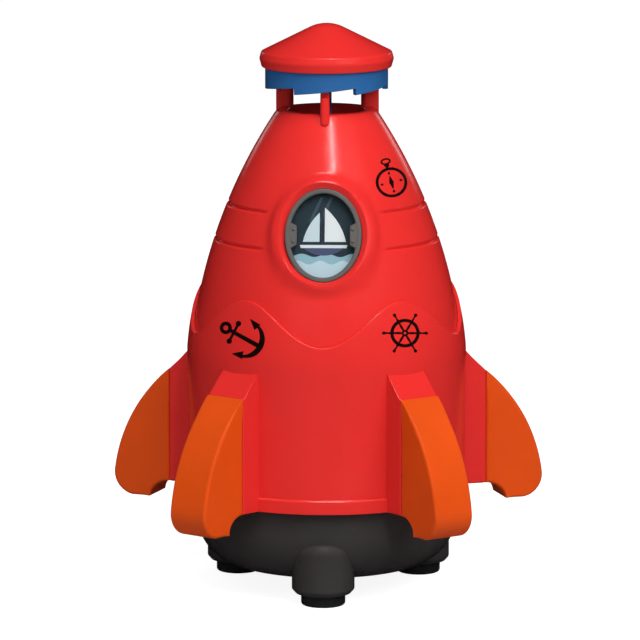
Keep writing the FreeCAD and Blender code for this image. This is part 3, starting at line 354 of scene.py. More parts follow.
class NoseSurface:
    """The nose as a surface of angle, slope and height off its skin.

    Its side view is an arc: radius is centre plus (arc + lift) times the slope's
    cosine, and height is centre plus (arc + lift) times the slope's sine.
    """

    def __init__(self, sizes):
        self.arc = sizes.nose_arc
        foot = np.array([sizes.nose_foot_radius, sizes.nose_foot])
        rim = np.array([sizes.rim_radius, sizes.rim])
        chord = rim - foot
        half = np.hypot(*chord) / 2
        rise = math.sqrt(self.arc**2 - half**2)
        self.centre = (foot + rim) / 2 + np.array([-chord[1], chord[0]]) / (2 * half) * rise
        tilt = self.slope(sizes.window)
        self.window_slope = tilt
        self.origin = np.array([0, -self.radius(sizes.window), sizes.window])
        self.upwards = np.array([0, math.sin(tilt), math.cos(tilt)])
        self.outwards = np.array([0, -math.cos(tilt), math.sin(tilt)])

    def slope(self, height):
        """The slope of the skin at a height: the arcsine of its rise over the arc."""
        return np.arcsin((np.asarray(height) - self.centre[1]) / self.arc)

    def radius(self, height, lift=0):
        """The radius of the skin, or of the surface that far off it, at a height."""
        rise = np.asarray(height) - self.centre[1]
        return self.centre[0] + np.sqrt((self.arc + lift) ** 2 - rise**2)

    def point(self, angle, slope, lift=0):
        """The point at an angle and a slope, by the formula above."""
        reach = self.arc + np.asarray(lift)
        radius = self.centre[0] + reach * np.cos(slope)
        return around(radius, self.centre[1] + reach * np.sin(slope), angle)

    def in_window(self, points, lift=0):
        """Set (sideways, up the slope, outwards) points in the window's frame, lifted."""
        points = np.asarray(points, float) + (0, 0, lift)
        across, up, out = points[..., :1], points[..., 1:2], points[..., 2:]
        return self.origin + across * (1, 0, 0) + up * self.upwards + out * self.outwards

    def under_window(self, across, up):
        """The angle and slope of the skin straight under points of the window's plane.

        Each step moves a point along the window's axis by its distance off the arc.
        """
        lift = np.zeros_like(across)
        for _ in range(12):
            point = self.in_window(np.stack([across, up, lift], axis=-1))
            radius = np.hypot(point[..., 0], point[..., 1])
            lift -= np.hypot(radius - self.centre[0], point[..., 2] - self.centre[1]) - self.arc
        angle = np.arctan2(point[..., 0], -point[..., 1])
        return angle, np.arctan2(point[..., 2] - self.centre[1], radius - self.centre[0])


def spaced(low, high, step, keep=()):
    """Even values between two ends, with the kept ones in place of their neighbours."""
    even = np.linspace(low, high, max(2, round((high - low) / step) + 1))
    keep = np.asarray(sorted(keep), float)
    if len(keep):
        nearest = np.abs(even[:, None] - keep[None]).min(axis=1)
        even = even[(nearest > 0.6 * step) | (even == low) | (even == high)]
    return np.unique(np.concatenate([even, keep]))


def nose_lines(sizes, surface):
    """The angles and slopes of the grid's lines, and each line's place in the window.

    Lines in the window's square run from -1 to 1, with extra ones at the hole's edge.
    """
    edge = [PORT_RING, PORT_RING + 0.03, PORT_RING + 0.06, PORT_RING + 0.09]
    places = spaced(-1, 1, 0.045, [-value for value in edge] + edge)
    half_angle = sizes.boss_half_width / surface.radius(sizes.window) * 1.06
    half_slope = sizes.boss_half_height / surface.arc * 1.02
    beyond = spaced(half_angle, FULL_TURN - half_angle, math.radians(2.2))[1:-1]
    angles = np.concatenate([places * half_angle, beyond])
    centre = surface.window_slope
    grooves = []
    for level in (sizes.lower_groove, sizes.upper_groove):
        heights = level + sizes.groove_half * np.array([-1.4, -1, -0.75, -0.4, 0, 0.4, 0.75, 1, 1.4])
        grooves.append((surface.slope(heights) - centre) / half_slope)
    low = (surface.slope(sizes.nose_foot) - centre) / half_slope
    high = (surface.slope(sizes.rim - sizes.rim_round) - centre) / half_slope
    kept = [-value for value in edge] + edge + list(np.concatenate(grooves)) + [-1, 1]
    rows = spaced(low, high, 0.055, kept)
    return angles, places, rows, centre + rows * half_slope


def window_warp(sizes, surface, angles, places, rows, slopes):
    """Bend the square of grid lines round the window so that one of them is its edge.

    A point of the square goes to the oval of the same ring, and the ovals ease back
    to the square between the hole's edge and the square's sides.
    """
    angle, slope = np.meshgrid(angles, slopes, indexing="ij")
    inside = np.abs(rows) <= 1
    across, up = np.meshgrid(places, rows[inside], indexing="ij")
    ring = np.maximum(np.abs(across), np.abs(up))
    away = np.maximum(np.hypot(across, up), 1e-9)
    half_width = np.interp(ring, [0, PORT_RING, 1], [0, sizes.port_half_width, sizes.boss_half_width])
    half_height = np.interp(ring, [0, PORT_RING, 1], [0, sizes.port_half_height, sizes.boss_half_height])
    oval_angle, oval_slope = surface.under_window(half_width * across / away, half_height * up / away)
    ease = 1 - smooth_step((ring - PORT_RING - 0.1) / (0.9 - PORT_RING))
    block = np.ix_(np.arange(len(places)), np.flatnonzero(inside))
    angle[block] += ease * (oval_angle - angle[block])
    slope[block] += ease * (oval_slope - slope[block])
    return angle, slope


def window_places(sizes, surface, angle, skin):
    """Each point's place in the window's plane, and its shares of the hole and the boss.

    A share is the root of the squares of across and up over half the oval's width and
    height: 1 on its edge. It is far above 1 away from the front.
    """
    from_window = skin - surface.origin
    across, up = from_window[..., 0], from_window @ surface.upwards
    front = (np.cos(angle) > 0) & (from_window @ surface.outwards > -sizes.rim)
    port = np.hypot(across / sizes.port_half_width, up / sizes.port_half_height)
    boss = np.hypot(across / sizes.boss_half_width, up / sizes.boss_half_height)
    return across, up, np.where(front, port, 9), np.where(front, boss, 9)


def nose_relief(sizes, height, port, boss):
    """The skin's lift: up on the boss, down on the slope round the hole and in grooves.

    A groove is its depth times the squared cosine of the distance to its middle.
    """
    slope_share = sizes.port_bevel / sizes.port_half_width
    bevel = smooth_step((1 + slope_share - port) / slope_share)
    lift = sizes.boss_proud * smooth_step((1 - boss) / 0.2)
    lift -= (sizes.boss_proud - 0.2 * MM) * bevel
    off_boss = 1 - smooth_step((1.12 - boss) / 0.08)
    for level in (sizes.lower_groove, sizes.upper_groove):
        near = np.clip(np.abs(height - level) / sizes.groove_half, 0, 1)
        lift -= sizes.groove_deep * np.cos(near * math.pi / 2) ** 2 * off_boss
    return lift


def port_faces(columns, total, places, rows, back):
    """The closed grid's faces without the hole's two patches, and the wall between them.

    Back is the place in a column of the inner point behind its first outer one.
    """
    faces = grid_faces(columns, total, True, True)
    hole_columns = np.flatnonzero(np.abs(places) <= PORT_RING + 1e-9)
    hole_rows = np.flatnonzero(np.abs(rows) <= PORT_RING + 1e-9)
    keep = np.ones(faces.shape[:2], bool)
    keep[np.ix_(hole_columns[:-1], hole_rows[:-1])] = False
    keep[np.ix_(hole_columns[:-1], back - hole_rows[1:])] = False
    loop = square_loop(hole_columns, hole_rows)
    front_ring = loop[:, 0] * total + loop[:, 1]
    back_ring = loop[:, 0] * total + back - loop[:, 1]
    wall = [front_ring, np.roll(front_ring, -1), np.roll(back_ring, -1), back_ring]
    return np.concatenate([faces[keep], np.stack(wall, axis=-1)])


def nose_shell(sizes, surface):
    """Outer skin, rim, inner skin and lip in one closed grid with the port through it.

    Behind the hole the inner skin eases over to a flat seat for the window.
    """
    angles, places, rows, slopes = nose_lines(sizes, surface)
    angle, slope = window_warp(sizes, surface, angles, places, rows, slopes)
    skin = surface.point(angle, slope)
    across, up, port, boss = window_places(sizes, surface, angle, skin)
    outer = surface.point(angle, slope, nose_relief(sizes, skin[..., 2], port, boss))
    inner = surface.point(angle, slope, -sizes.wall)
    seat = surface.in_window(np.stack([across, up, np.full_like(up, -sizes.seat)], axis=-1))
    inner += smooth_step((1.3 - port) / 0.16)[..., None] * (seat - inner)
    bands = (rim_rows(sizes, surface), lip_rows(sizes))
    rim, lip = (around(band[None, :, 0], band[None, :, 1], angles[:, None]) for band in bands)
    points = np.concatenate([outer, rim, inner[:, ::-1], lip], axis=1)
    back = 2 * len(rows) + len(bands[0]) - 1
    faces = port_faces(len(angles), points.shape[1], places, rows, back)
    return drop_loose(points.reshape(-1, 3), faces)


def drop_loose(points, faces):
    """Leave out points that no face uses, and number the rest again."""
    used, numbers = np.unique(faces, return_inverse=True)
    return points[used], numbers.reshape(faces.shape)


def square_loop(columns, rows):
    """The grid places on a square's rim, in order: along, up, back and down."""
    low, high, bottom, top = columns[0], columns[-1], rows[0], rows[-1]
    along = [(column, bottom) for column in columns[:-1]]
    upward = [(high, row) for row in rows[:-1]]
    backward = [(column, top) for column in columns[:0:-1]]
    downward = [(low, row) for row in rows[:0:-1]]
    return np.array(along + upward + backward + downward)


def rim_rows(sizes, surface):
    """The rounded top of the nose, over into its bore and down to the inner skin."""
    turn = sizes.rim - sizes.rim_round
    low = sizes.rim - BORE_DEPTH
    corners = [
        (surface.radius(turn), turn),
        (sizes.rim_radius - 0.2 * MM, sizes.rim),
        (sizes.rim_bore, sizes.rim),
        (sizes.rim_bore, low),
        (surface.radius(turn, -sizes.wall), low - 1.2 * MM),
    ]
    radii = [0, sizes.rim_round, 0.9 * MM, 0.6 * MM, 0]
    return rounded(corners, radii)[1:-1]


def lip_rows(sizes):
    """The nose's foot: inner edge, under edge and the straight lip inside the skirt."""
    radius = sizes.nose_foot_radius
    return np.array([
        (radius - sizes.wall, sizes.nose_low + 0.5 * MM),
        (radius - sizes.wall + 0.5 * MM, sizes.nose_low),
        (radius - 0.5 * MM, sizes.nose_low),
        (radius, sizes.nose_low + 0.5 * MM),
        (radius, sizes.nose_foot - 1.0 * MM),
    ])


# --- The skirt ----------------------------------------------------------------------


def skirt_outer(sizes, surface, height):
    """The skirt's radius: a straight flare, and an arc inwards above the shoulder."""
    crest = sizes.seam + sizes.seam_wave
    crest_point = (surface.radius(crest) + sizes.seam_step, crest)
    curve = arc((sizes.shoulder_radius, sizes.shoulder), crest_point, sizes.shoulder_arc, 24)
    side = np.concatenate([[(sizes.skirt_radius, sizes.skirt_low)], curve])
    return np.interp(height, side[:, 1], side[:, 0])


def seam_height(sizes, angle):
    """A wave with one crest over each fin: middle less wave times cosine of 5 angles."""
    return sizes.seam - sizes.seam_wave * np.cos(FINS * angle)


def hem_rows(sizes):
    """The skirt's lower edge and the chamfered band round its foot."""
    proud = sizes.skirt_radius + sizes.hem_proud
    corners = [
        (sizes.skirt_radius - sizes.wall + sizes.skirt_edge, sizes.skirt_low),
        (proud, sizes.skirt_low),
        (proud, sizes.hem_top - sizes.hem_proud),
        (sizes.skirt_radius, sizes.hem_top),
    ]
    return rounded(corners, [0, sizes.skirt_edge, 0.2 * MM, 0], 5)


def outer_rows(sizes, surface, top):
    """Rows up the skirt's outer wall, then a quarter circle over its wavy edge."""
    edge = sizes.seam_edge
    start = sizes.hem_top + 0.02 * MM
    rows = []
    for share in np.linspace(0, 1, 46) ** 0.85:
        height = start + share * (top - edge - start)
        rows.append((skirt_outer(sizes, surface, height), height))
    brink = skirt_outer(sizes, surface, top - edge)
    for turn in np.linspace(0, math.pi / 2, 6)[1:]:
        rows.append((brink - edge * (1 - math.cos(turn)), top - edge * (1 - math.sin(turn))))
    return rows


def inner_rows(sizes, surface, top):
    """Rows down inside the skirt: close along the nose, then straight to its foot."""
    rows = []
    for share in np.linspace(0, 1, 14):
        height = top + share * (sizes.nose_foot - top)
        rows.append((surface.radius(height, sizes.fit), height))
    start = np.array([surface.radius(sizes.nose_foot, sizes.fit), sizes.nose_foot])
    end = np.array([sizes.skirt_radius - sizes.wall, sizes.skirt_low + sizes.skirt_edge])
    return rows + list(np.linspace(start, end, 10)[1:])


def skirt_shell(sizes, surface):
    """Hem, outer wall, wavy edge and inner wall in one closed grid."""
    angle = np.linspace(0, FULL_TURN, SKIRT_COLUMNS, endpoint=False)[:, None]
    top = seam_height(sizes, angle)
    rows = [*hem_rows(sizes), *outer_rows(sizes, surface, top), *inner_rows(sizes, surface, top)]
    level = np.ones_like(angle)
    radius, height = (np.concatenate([level * value for value in side], axis=1) for side in zip(*rows))
    return around(radius, height, angle), grid_faces(len(angle), len(rows), True, True)


def root_block(sizes):
    """The block that carries a fin: upright outer face and a top that slopes up inwards."""
    sunk, slope = 1.2 * MM, 0.93
    inner = sizes.skirt_radius - sunk
    top = sizes.block_top + slope * (sizes.block_radius - inner)
    corners = [
        (inner, sizes.skirt_low),
        (sizes.block_radius, sizes.skirt_low),
        (sizes.block_radius, sizes.block_top),
        (inner, top),
    ]
    outline = rounded(corners, np.array([0, 1.0, 1.2, 0]) * MM, 5)
    return plate(outline, sizes.fin_width, 0.9 * MM)


def fin_outline(sizes):
    """Side view: rounded back, round toe, flat foot and a hollow heel."""
    root = (sizes.block_radius + 0.05 * MM, sizes.skirt_low)
    shoulder = (root[0], sizes.block_top)
    toe = (sizes.fin_radius - sizes.toe_inset, sizes.fin_foot)
    heel = (toe[0] - sizes.foot_length, sizes.fin_foot)
    tip = (sizes.fin_radius, sizes.fin_tip)
    notch = arc(root, heel, -sizes.heel_arc, 10)
    foot = np.linspace(heel, toe, 8)[1:-1]
    back = arc(tip, shoulder, sizes.back_arc, 40)[1:]
    front = np.linspace(shoulder, root, 30)[1:-1]
    outline = np.concatenate([notch, foot, arc(toe, tip, sizes.toe_arc, 10), back, front])
    return outline, np.array(heel)


def fin_edges(sizes, outline, heel):
    """The rounding at each point of a fin: it shrinks towards the top and the heel."""
    least, near_top, near_heel = 0.06, 14 * MM, 4 * MM
    top = np.array([outline[:, 0].min(), sizes.block_top])
    from_top = smooth_step(np.hypot(*(outline - top).T) / near_top)
    from_heel = smooth_step(0.2 + np.hypot(*(outline - heel).T) / near_heel)
    return sizes.fin_edge * (least + (1 - least) * from_top * from_heel)


# --- The crown: posts, rotor and cap ------------------------------------------------


def post_outline(sizes):
    """A blade with a rounded lower tip on the nose and a narrower neck on top."""
    step, neck_height, tip_rise, set_in = 2.3 * MM, 2.4 * MM, 2.7 * MM, 0.3 * MM
    neck, neck_top = sizes.post_outer - step, sizes.post_top + neck_height
    inner, foot = sizes.rim_bore + set_in, sizes.rim - BORE_DEPTH
    corners = [
        (sizes.post_outer, foot),
        (sizes.post_outer, sizes.post_top),
        (neck, sizes.post_top),
        (neck, neck_top),
        (inner, neck_top),
        (inner, foot + tip_rise),
    ]
    return rounded(corners, np.array([1.8, 0, 0, 0, 0, 0]) * MM)


def rotor_ring(sizes):
    """The toothed ring: its lower edge climbs by one tooth's rise, once for each tooth."""
    share = np.concatenate([[0.002], np.linspace(0.02, 0.98, 26), [0.998]])
    angle = ((np.arange(TEETH)[:, None] + share - 0.5) * FULL_TURN / TEETH).ravel()
    low = (sizes.ring_low + np.tile(share, TEETH) * sizes.tooth_rise)[:, None]
    outer, inner = sizes.ring_radius, sizes.ring_radius - sizes.ring_wall
    edge, bend = 0.45 * MM, 0.3 * 0.45 * MM
    radii = [inner, inner + bend, inner + edge, outer - edge, outer - bend, outer]
    radii += [outer, outer - edge, inner]
    top = np.full_like(low, sizes.disc_top)
    heights = [low + edge, low + bend, low, low, low + bend, low + edge, top - edge, top, top]
    points = around(np.array(radii), np.concatenate(heights, axis=1), angle[:, None])
    return points, grid_faces(len(angle), len(radii), True, True)


def rotor_core(sizes):
    """Stem, hub and disc in one turned outline that starts and ends on the axis."""
    tip, stem, hub = sizes.rim - sizes.stem_drop, sizes.stem_radius, sizes.hub_radius
    hub_low = sizes.disc_low - 5.8 * MM
    ring_bore = sizes.ring_radius - sizes.ring_wall + 0.1 * MM
    corners = [
        (0, tip),
        (stem, tip + 1.2 * MM),
        (stem, hub_low),
        (hub, hub_low),
        (hub, sizes.disc_low),
        (ring_bore, sizes.disc_low),
        (ring_bore, sizes.disc_top),
        (0, sizes.disc_top),
    ]
    radii = np.array([0, 0.8, 0.2, 0.5, 0.6, 0, 0, 0]) * MM
    return lathe(rounded(corners, radii), 96, closed=False)


def rotor_vane(sizes, degrees):
    """A leaning blade from the hub to the ring, swept under the disc."""
    sunk = 0.2 * MM
    inner, outer = sizes.hub_radius - sunk, sizes.ring_radius - sizes.ring_wall + sunk
    low, high = sizes.disc_low - 5.0 * MM, sizes.disc_low + 0.1 * MM
    lean, thick = 3.8 * MM, 1.6 * MM
    outline = rounded([(-lean, low), (thick - lean, low), (thick, high), (0, high)], 0.3 * MM, 3)
    points, faces = plate(outline, outer - inner, 0.1 * MM, 2)
    outwards = (inner + outer) / 2 - points[..., 2]
    upright = np.stack([outwards, points[..., 1], -points[..., 0]], axis=-1)
    return stand(upright, degrees), faces


def cap_profile(sizes):
    """A blunt cone: rounded tip, straight slope, round brim and a thin wall below."""
    slope, wall, tip_flat, tip_arc = 0.5, 3.0 * MM, 6.8 * MM, 15.3 * MM
    brim = sizes.cap_low + 6.4 * MM
    reach = sizes.cap_radius - 0.8 * MM
    tip_base = brim + slope * (reach - tip_flat)
    bore = sizes.ring_radius + 0.15 * MM
    corners = [
        (bore, sizes.cap_low),
        (sizes.cap_radius - 1.0 * MM, sizes.cap_low),
        (sizes.cap_radius, sizes.cap_low + 3.6 * MM),
        (reach, brim),
        (tip_flat + 2 * MM, tip_base - slope * 2 * MM),
    ]
    outer = rounded(corners, np.array([0.3, 1.6, 2.4, 1.2, 0]) * MM, 10)
    dome = arc((tip_flat, tip_base), (0, sizes.cap_top), tip_arc, 10)
    top = sizes.cap_top - wall
    inner = [(0, top), (bore, top - slope * bore), (bore, sizes.cap_low + 0.3 * MM)]
    return np.concatenate([inner, outer, dome])


# --- Window and signs ---------------------------------------------------------------


def bezel_tab(sizes, side):
    """A tab with clipped corners that reaches in from the rim; side is -1 or 1."""
    outer = sizes.port_half_width - 1.0 * MM
    inner = outer - 4.0 * MM
    root, end = 6.2 * MM, 3.96 * MM
    corners = [(outer, -root), (outer, root), (inner, end), (inner, -end)]
    corners = [(side * across, up) for across, up in corners]
    if side < 0:
        corners = corners[::-1]
    return rounded(corners, 0.5 * MM, 4)


def oval_ring(half_width, half_height, width, thick, edge):
    """A band of rounded section carried round an oval, inside its edge."""
    section = rounded([(-width, 0), (0, 0), (0, thick), (-width, thick)], edge, 4)
    turn = np.linspace(0, FULL_TURN, 128, endpoint=False)[:, None]
    across = (half_width + section[None, :, 0]) * np.sin(turn)
    up = -(half_height + section[None, :, 0]) * np.cos(turn)
    depth = np.broadcast_to(section[None, :, 1], across.shape)
    points = np.stack([across, up, depth], axis=-1)
    return points, grid_faces(len(turn), len(section), True, True)


def ribbon(path, widths, closed=False):
    """A flat stroke: left and right edges lie half a width off the path, to each side.

    Its four edges are given as (across, up, side), where side is 1 on top and 0 below.
    """
    path = np.asarray(path, float)
    if closed:
        tangent = np.roll(path, -1, axis=0) - np.roll(path, 1, axis=0)
    else:
        tangent = np.gradient(path, axis=0)
    tangent /= np.hypot(*tangent.T)[:, None]
    normal = np.stack([-tangent[:, 1], tangent[:, 0]], axis=-1)
    half = np.broadcast_to(widths, len(path))[:, None] / 2
    left, right = path + normal * half, path - normal * half
    edges = np.stack([left, (left + right) / 2, right, right, left], axis=1)
    side = np.broadcast_to(np.array([1, 1, 1, 0, 0.0])[None, :, None], edges.shape[:2] + (1,))
    points = np.concatenate([edges, side], axis=-1)
    count, rows = len(path), edges.shape[1]
    faces = [grid_faces(count, rows, closed, True)[..., ::-1]]
    if not closed:
        start = np.arange(rows)
        faces += [start[None, ::-1], (start + (count - 1) * rows)[None]]
    return points, faces


def line(start, end, first_width, last_width=None, steps=8):
    """A straight stroke whose width runs evenly from the first to the last."""
    last_width = first_width if last_width is None else last_width
    share = np.linspace(0, 1, steps + 1)
    path = np.outer(1 - share, start) + np.outer(share, end)
    return ribbon(path, first_width + share * (last_width - first_width))


def circle(centre, radius, width, steps=40):
    """A round stroke: the centre plus the radius times (cosine, sine)."""
    turn = np.linspace(0, FULL_TURN, steps, endpoint=False)
    path = np.asarray(centre) + radius * np.stack([np.cos(turn), np.sin(turn)], axis=-1)
    return ribbon(path, width, closed=True)


def dot(centre, radius):
    """A disc, as a round stroke that all but closes at its centre."""
    return circle(centre, radius / 2, radius * 0.98, 24)


def anchor_strokes():
    """An anchor, upright and centred, in millimetres: ring, stock, shank, arms, flukes."""
    strokes = [circle((0, 8.1), 1.85, 1.5), line((0, 6.2), (0, -8.2), 1.5, 1.9)]
    strokes += [line((-3.8, 4.2), (3.8, 4.2), 1.1), dot((-4.1, 4.2), 1.15), dot((4.1, 4.2), 1.15)]
    turn = np.linspace(math.radians(-162), math.radians(-18), 30)
    arms = np.stack([7.3 * np.cos(turn), -1.4 + 6.9 * np.sin(turn)], axis=-1)
    width = 1.0 + 1.4 * np.sin(np.linspace(0, math.pi, 30))
    strokes.append(ribbon(arms, width))
    for side in (-1, 1):
        strokes.append(line((side * 6.5, -3.6), (side * 8.1, 0.7), 3.3, 0.2))
    return strokes


def wheel_strokes():
    """A ship's wheel in millimetres: rim, hub, and six spokes with knobbed handles."""
    strokes = [circle((0, 0), 5.25, 1.3), circle((0, 0), 0.95, 0.8)]
    for spoke in range(6):
        turn = math.radians(60 * spoke)
        along = np.array([math.cos(turn), math.sin(turn)])
        strokes += [line(along * 1.2, along * 3.0, 0.7, 1.0), line(along * 2.9, along * 5.0, 0.98, 0.6)]
        strokes += [line(along * 5.6, along * 7.0, 1.0, 0.55), line(along * 6.9, along * 8.4, 0.55, 0.9)]
        strokes.append(dot(along * 8.55, 0.68))
    return strokes


def compass_strokes():
    """A pocket compass in millimetres: case, crown, loop, needle and four marks."""
    strokes = [circle((0, 0), 5.75, 1.15), line((0, 5.8), (0, 7.9), 1.1), line((-1.0, 7.3), (1.0, 7.3), 0.8)]
    turn = np.linspace(0, FULL_TURN, 28, endpoint=False)
    loop = np.stack([1.75 * np.cos(turn), 9.0 + 1.05 * np.sin(turn)], axis=-1)
    strokes.append(ribbon(loop, 0.65, closed=True))
    strokes += [line((0, -0.1), (0, 2.9), 1.9, 0.2), line((0, 0.1), (0, -2.9), 1.9, 0.2)]
    for mark in range(4):
        turn = math.radians(90 * mark)
        away = np.array([math.cos(turn), math.sin(turn)])
        strokes.append(line(away * 3.4, away * 4.4, 0.8))
    return strokes


def lay_on(shell, strokes, tilt, radius_at, degrees, height):
    """Turn strokes by a tilt and project them on a round skin from a little above.

    Each step sets a point's height so that, seen at LOOK_DOWN from the front, it keeps
    its place; its angle round the axis is the arcsine of across over the skin's radius.
    """
    turn = math.radians(tilt)
    spin = np.array([[math.cos(turn), math.sin(turn)], [-math.sin(turn), math.cos(turn)]])
    middle = radius_at(height)
    centre = middle * math.sin(math.radians(degrees))
    for points, faces in strokes:
        flat = points[..., :2] @ spin * MM
        across, level = centre + flat[..., 0], height + flat[..., 1]
        for _ in range(6):
            nearer = np.sqrt(radius_at(level) ** 2 - across**2) - math.sqrt(middle**2 - centre**2)
            level = height + flat[..., 1] + math.tan(LOOK_DOWN) * nearer
        radius = radius_at(level)
        lift = np.where(points[..., 2] > 0.5, 0.06 * MM, -0.25 * MM)
        shell.add(around(radius + lift, level, np.arcsin(across / radius)), faces)


# --- Materials ----------------------------------------------------------------------


class Nodes:
    """Short ways to add and join the nodes of one material."""

    def __init__(self, name):
        self.material = bpy.data.materials.new(name)
        self.material.use_nodes = True
        self.tree = self.material.node_tree
        self.shader = self.tree.nodes["Principled BSDF"]
        self.position = self.add("ShaderNodeTexCoord").outputs["Object"]

    def add(self, kind, **values):
        """A new node of a kind, with its settings."""
        node = self.tree.nodes.new(kind)
        for key, value in values.items():
            setattr(node, key, value)
        return node

    def join(self, source, target):
        """Run a node's output into another's input."""
        self.tree.links.new(source, target)

    def give(self, **values):
        """Set or join the shader's inputs, each named with _ for its spaces."""
        for key, value in values.items():
            socket = self.shader.inputs[key.replace("_", " ")]
            if hasattr(value, "is_output"):
                self.join(value, socket)
            else:
                socket.default_value = value
        return self.material

    def noise(self, scale, detail=3.0, roughness=0.55, stretch=None):
        """Noise at the object's own points, which may be stretched first."""
        node = self.add("ShaderNodeTexNoise")
        node.inputs["Scale"].default_value = scale
        node.inputs["Detail"].default_value = detail
        node.inputs["Roughness"].default_value = roughness
        position = self.position
        if stretch:
            mapping = self.add("ShaderNodeMapping")
            mapping.inputs["Scale"].default_value = stretch
            self.join(position, mapping.inputs["Vector"])
            position = mapping.outputs["Vector"]
        self.join(position, node.inputs["Vector"])
        return node.outputs["Fac"]

    def spread(self, value, low, high, new_low=0, new_high=1):
        """A value carried evenly from one range to another, and held within it."""
        node = self.add("ShaderNodeMapRange")
        self.join(value, node.inputs["Value"])
        for key, number in zip(("From Min", "From Max", "To Min", "To Max"), (low, high, new_low, new_high)):
            node.inputs[key].default_value = number
        return node.outputs["Result"]

    def mix(self, share, first, second):
        """From the first colour to the second by a share; each may be a node's output."""
        node = self.add("ShaderNodeMix", data_type="RGBA")
        self.join(share, node.inputs[0])
        for key, value in ((6, first), (7, second)):
            if hasattr(value, "is_output"):
                self.join(value, node.inputs[key])
            else:
                node.inputs[key].default_value = (*value[:3], 1)
        return node.outputs[2]

    def add_up(self, first, second, share):
        """First plus second times a share."""
        node = self.add("ShaderNodeMath", operation="MULTIPLY_ADD")
        self.join(second, node.inputs[0])
        node.inputs[1].default_value = share
        self.join(first, node.inputs[2])
        return node.outputs[0]

    def relief(self, height, distance):
        """Bumps of a height that is the value times a distance."""
        node = self.add("ShaderNodeBump")
        node.inputs["Strength"].default_value = 1
        node.inputs["Distance"].default_value = distance
        self.join(height, node.inputs["Height"])
        return node.outputs["Normal"]


def scaled(tone, factor):
    """A tone made lighter or darker by a factor, and no brighter than white."""
    return tuple(min(1.0, channel * factor) for channel in tone)


def moulded(name, tone, roughness, cloud=0.05, grain=0.02, shine=0.4, coat=0.0, rubbed=0.25):
    """Moulded plastic: cloudy tone, fine grain, and faint rubbed streaks in its gloss."""
    nodes = Nodes(name)
    clouds = nodes.spread(nodes.noise(28, 4), 0.3, 0.7)
    tint = nodes.mix(clouds, scaled(tone, 1 - cloud), scaled(tone, 1 + cloud))
    specks = nodes.spread(nodes.noise(900, 2, 0.7), 0.64, 0.8, 0, 0.3)
    dust = tuple(0.85 * channel + 0.05 for channel in tone)
    streaks = nodes.spread(nodes.noise(420, 3, 0.6, stretch=(1, 1, 0.06)), 0.55, 0.75)
    gloss = nodes.add_up(nodes.noise(60, 3), streaks, rubbed)
    return nodes.give(
        Base_Color=nodes.mix(specks, tint, dust),
        Roughness=nodes.spread(gloss, 0.3, 0.9, roughness * 0.8, roughness * 1.35),
        Normal=nodes.relief(nodes.noise(2600, 2, 0.6), grain * MM),
        Specular_IOR_Level=shine,
        Coat_Weight=coat,
        Coat_Roughness=0.12,
    )


def turned_metal(name, tone):
    """Plated steel: bright, with fine rings of brushing and a little tarnish."""
    nodes = Nodes(name)
    tarnish = nodes.spread(nodes.noise(500, 4), 0.45, 0.75, 0, 0.6)
    brushed = nodes.noise(5200, 2, 0.5, stretch=(1, 1, 6))
    return nodes.give(
        Base_Color=nodes.mix(tarnish, tone, scaled(tone, 0.55)),
        Roughness=nodes.spread(brushed, 0.3, 0.7, 0.22, 0.4),
        Normal=nodes.relief(brushed, 0.01 * MM),
        Metallic=1,
    )


def rubber(name, tone):
    """Soft black rubber: matt, pitted and dusty on its high spots."""
    nodes = Nodes(name)
    dust = nodes.spread(nodes.noise(240, 5, 0.65), 0.45, 0.8, 0, 0.4)
    return nodes.give(
        Base_Color=nodes.mix(dust, tone, scaled(tone, 2.6)),
        Roughness=nodes.spread(nodes.noise(90, 3), 0.3, 0.7, 0.62, 0.85),
        Normal=nodes.relief(nodes.noise(1900, 4, 0.7), 0.06 * MM),
        Specular_IOR_Level=0.3,
    )


def printed(name, tone=None):
    """Ink on plastic: flat tone or the piece's own tints, broken by a fine screen."""
    nodes = Nodes(name)
    if tone is None:
        source = nodes.add("ShaderNodeAttribute", attribute_name="Tint").outputs["Color"]
    else:
        source = nodes.mix(nodes.spread(nodes.noise(300, 3), 0.35, 0.7), tone, scaled(tone, 1.7))
    worn = nodes.spread(nodes.noise(900, 3, 0.7), 0.6, 0.85, 0, 0.07)
    return nodes.give(
        Base_Color=nodes.mix(worn, source, (0.5, 0.5, 0.5)),
        Roughness=nodes.spread(nodes.noise(700, 2), 0.3, 0.7, 0.34, 0.5),
        Normal=nodes.relief(nodes.noise(2600, 2), 0.01 * MM),
        Specular_IOR_Level=0.15,
    )


def clear(name):
    """A clear window: mostly see-through, with faint wipe marks in its gloss."""
    nodes = Nodes(name)
    wiped = nodes.noise(300, 3, 0.6, stretch=(1, 0.2, 1))
    return nodes.give(
        Base_Color=nodes.mix(nodes.noise(120, 3), (0.03, 0.05, 0.06), (0.06, 0.09, 0.1)),
        Roughness=nodes.spread(wiped, 0.3, 0.7, 0.03, 0.1),
        Alpha=0.07,
    )


def brighten(tree, socket, level, camera_level):
    """Give a lamp's strength one level as a light and a higher one to the camera."""
    seen = tree.nodes.new("ShaderNodeLightPath").outputs["Is Camera Ray"]
    strength = tree.nodes.new("ShaderNodeMapRange")
    tree.links.new(seen, strength.inputs["Value"])
    strength.inputs["To Min"].default_value = level
    strength.inputs["To Max"].default_value = camera_level
    tree.links.new(strength.outputs["Result"], socket)


def floor_paper(name):
    """Pale paper that shines a little to the camera, so that it stays white."""
    nodes = Nodes(name)
    paper = nodes.spread(nodes.noise(6, 4), 0.3, 0.7)
    brighten(nodes.tree, nodes.shader.inputs["Emission Strength"], 0.03, 0.9)
    return nodes.give(
        Base_Color=nodes.mix(paper, (0.5, 0.5, 0.5), (0.54, 0.54, 0.54)),
        Roughness=0.85,
        Specular_IOR_Level=0.15,
        Emission_Color=(1, 1, 1, 1),
    )


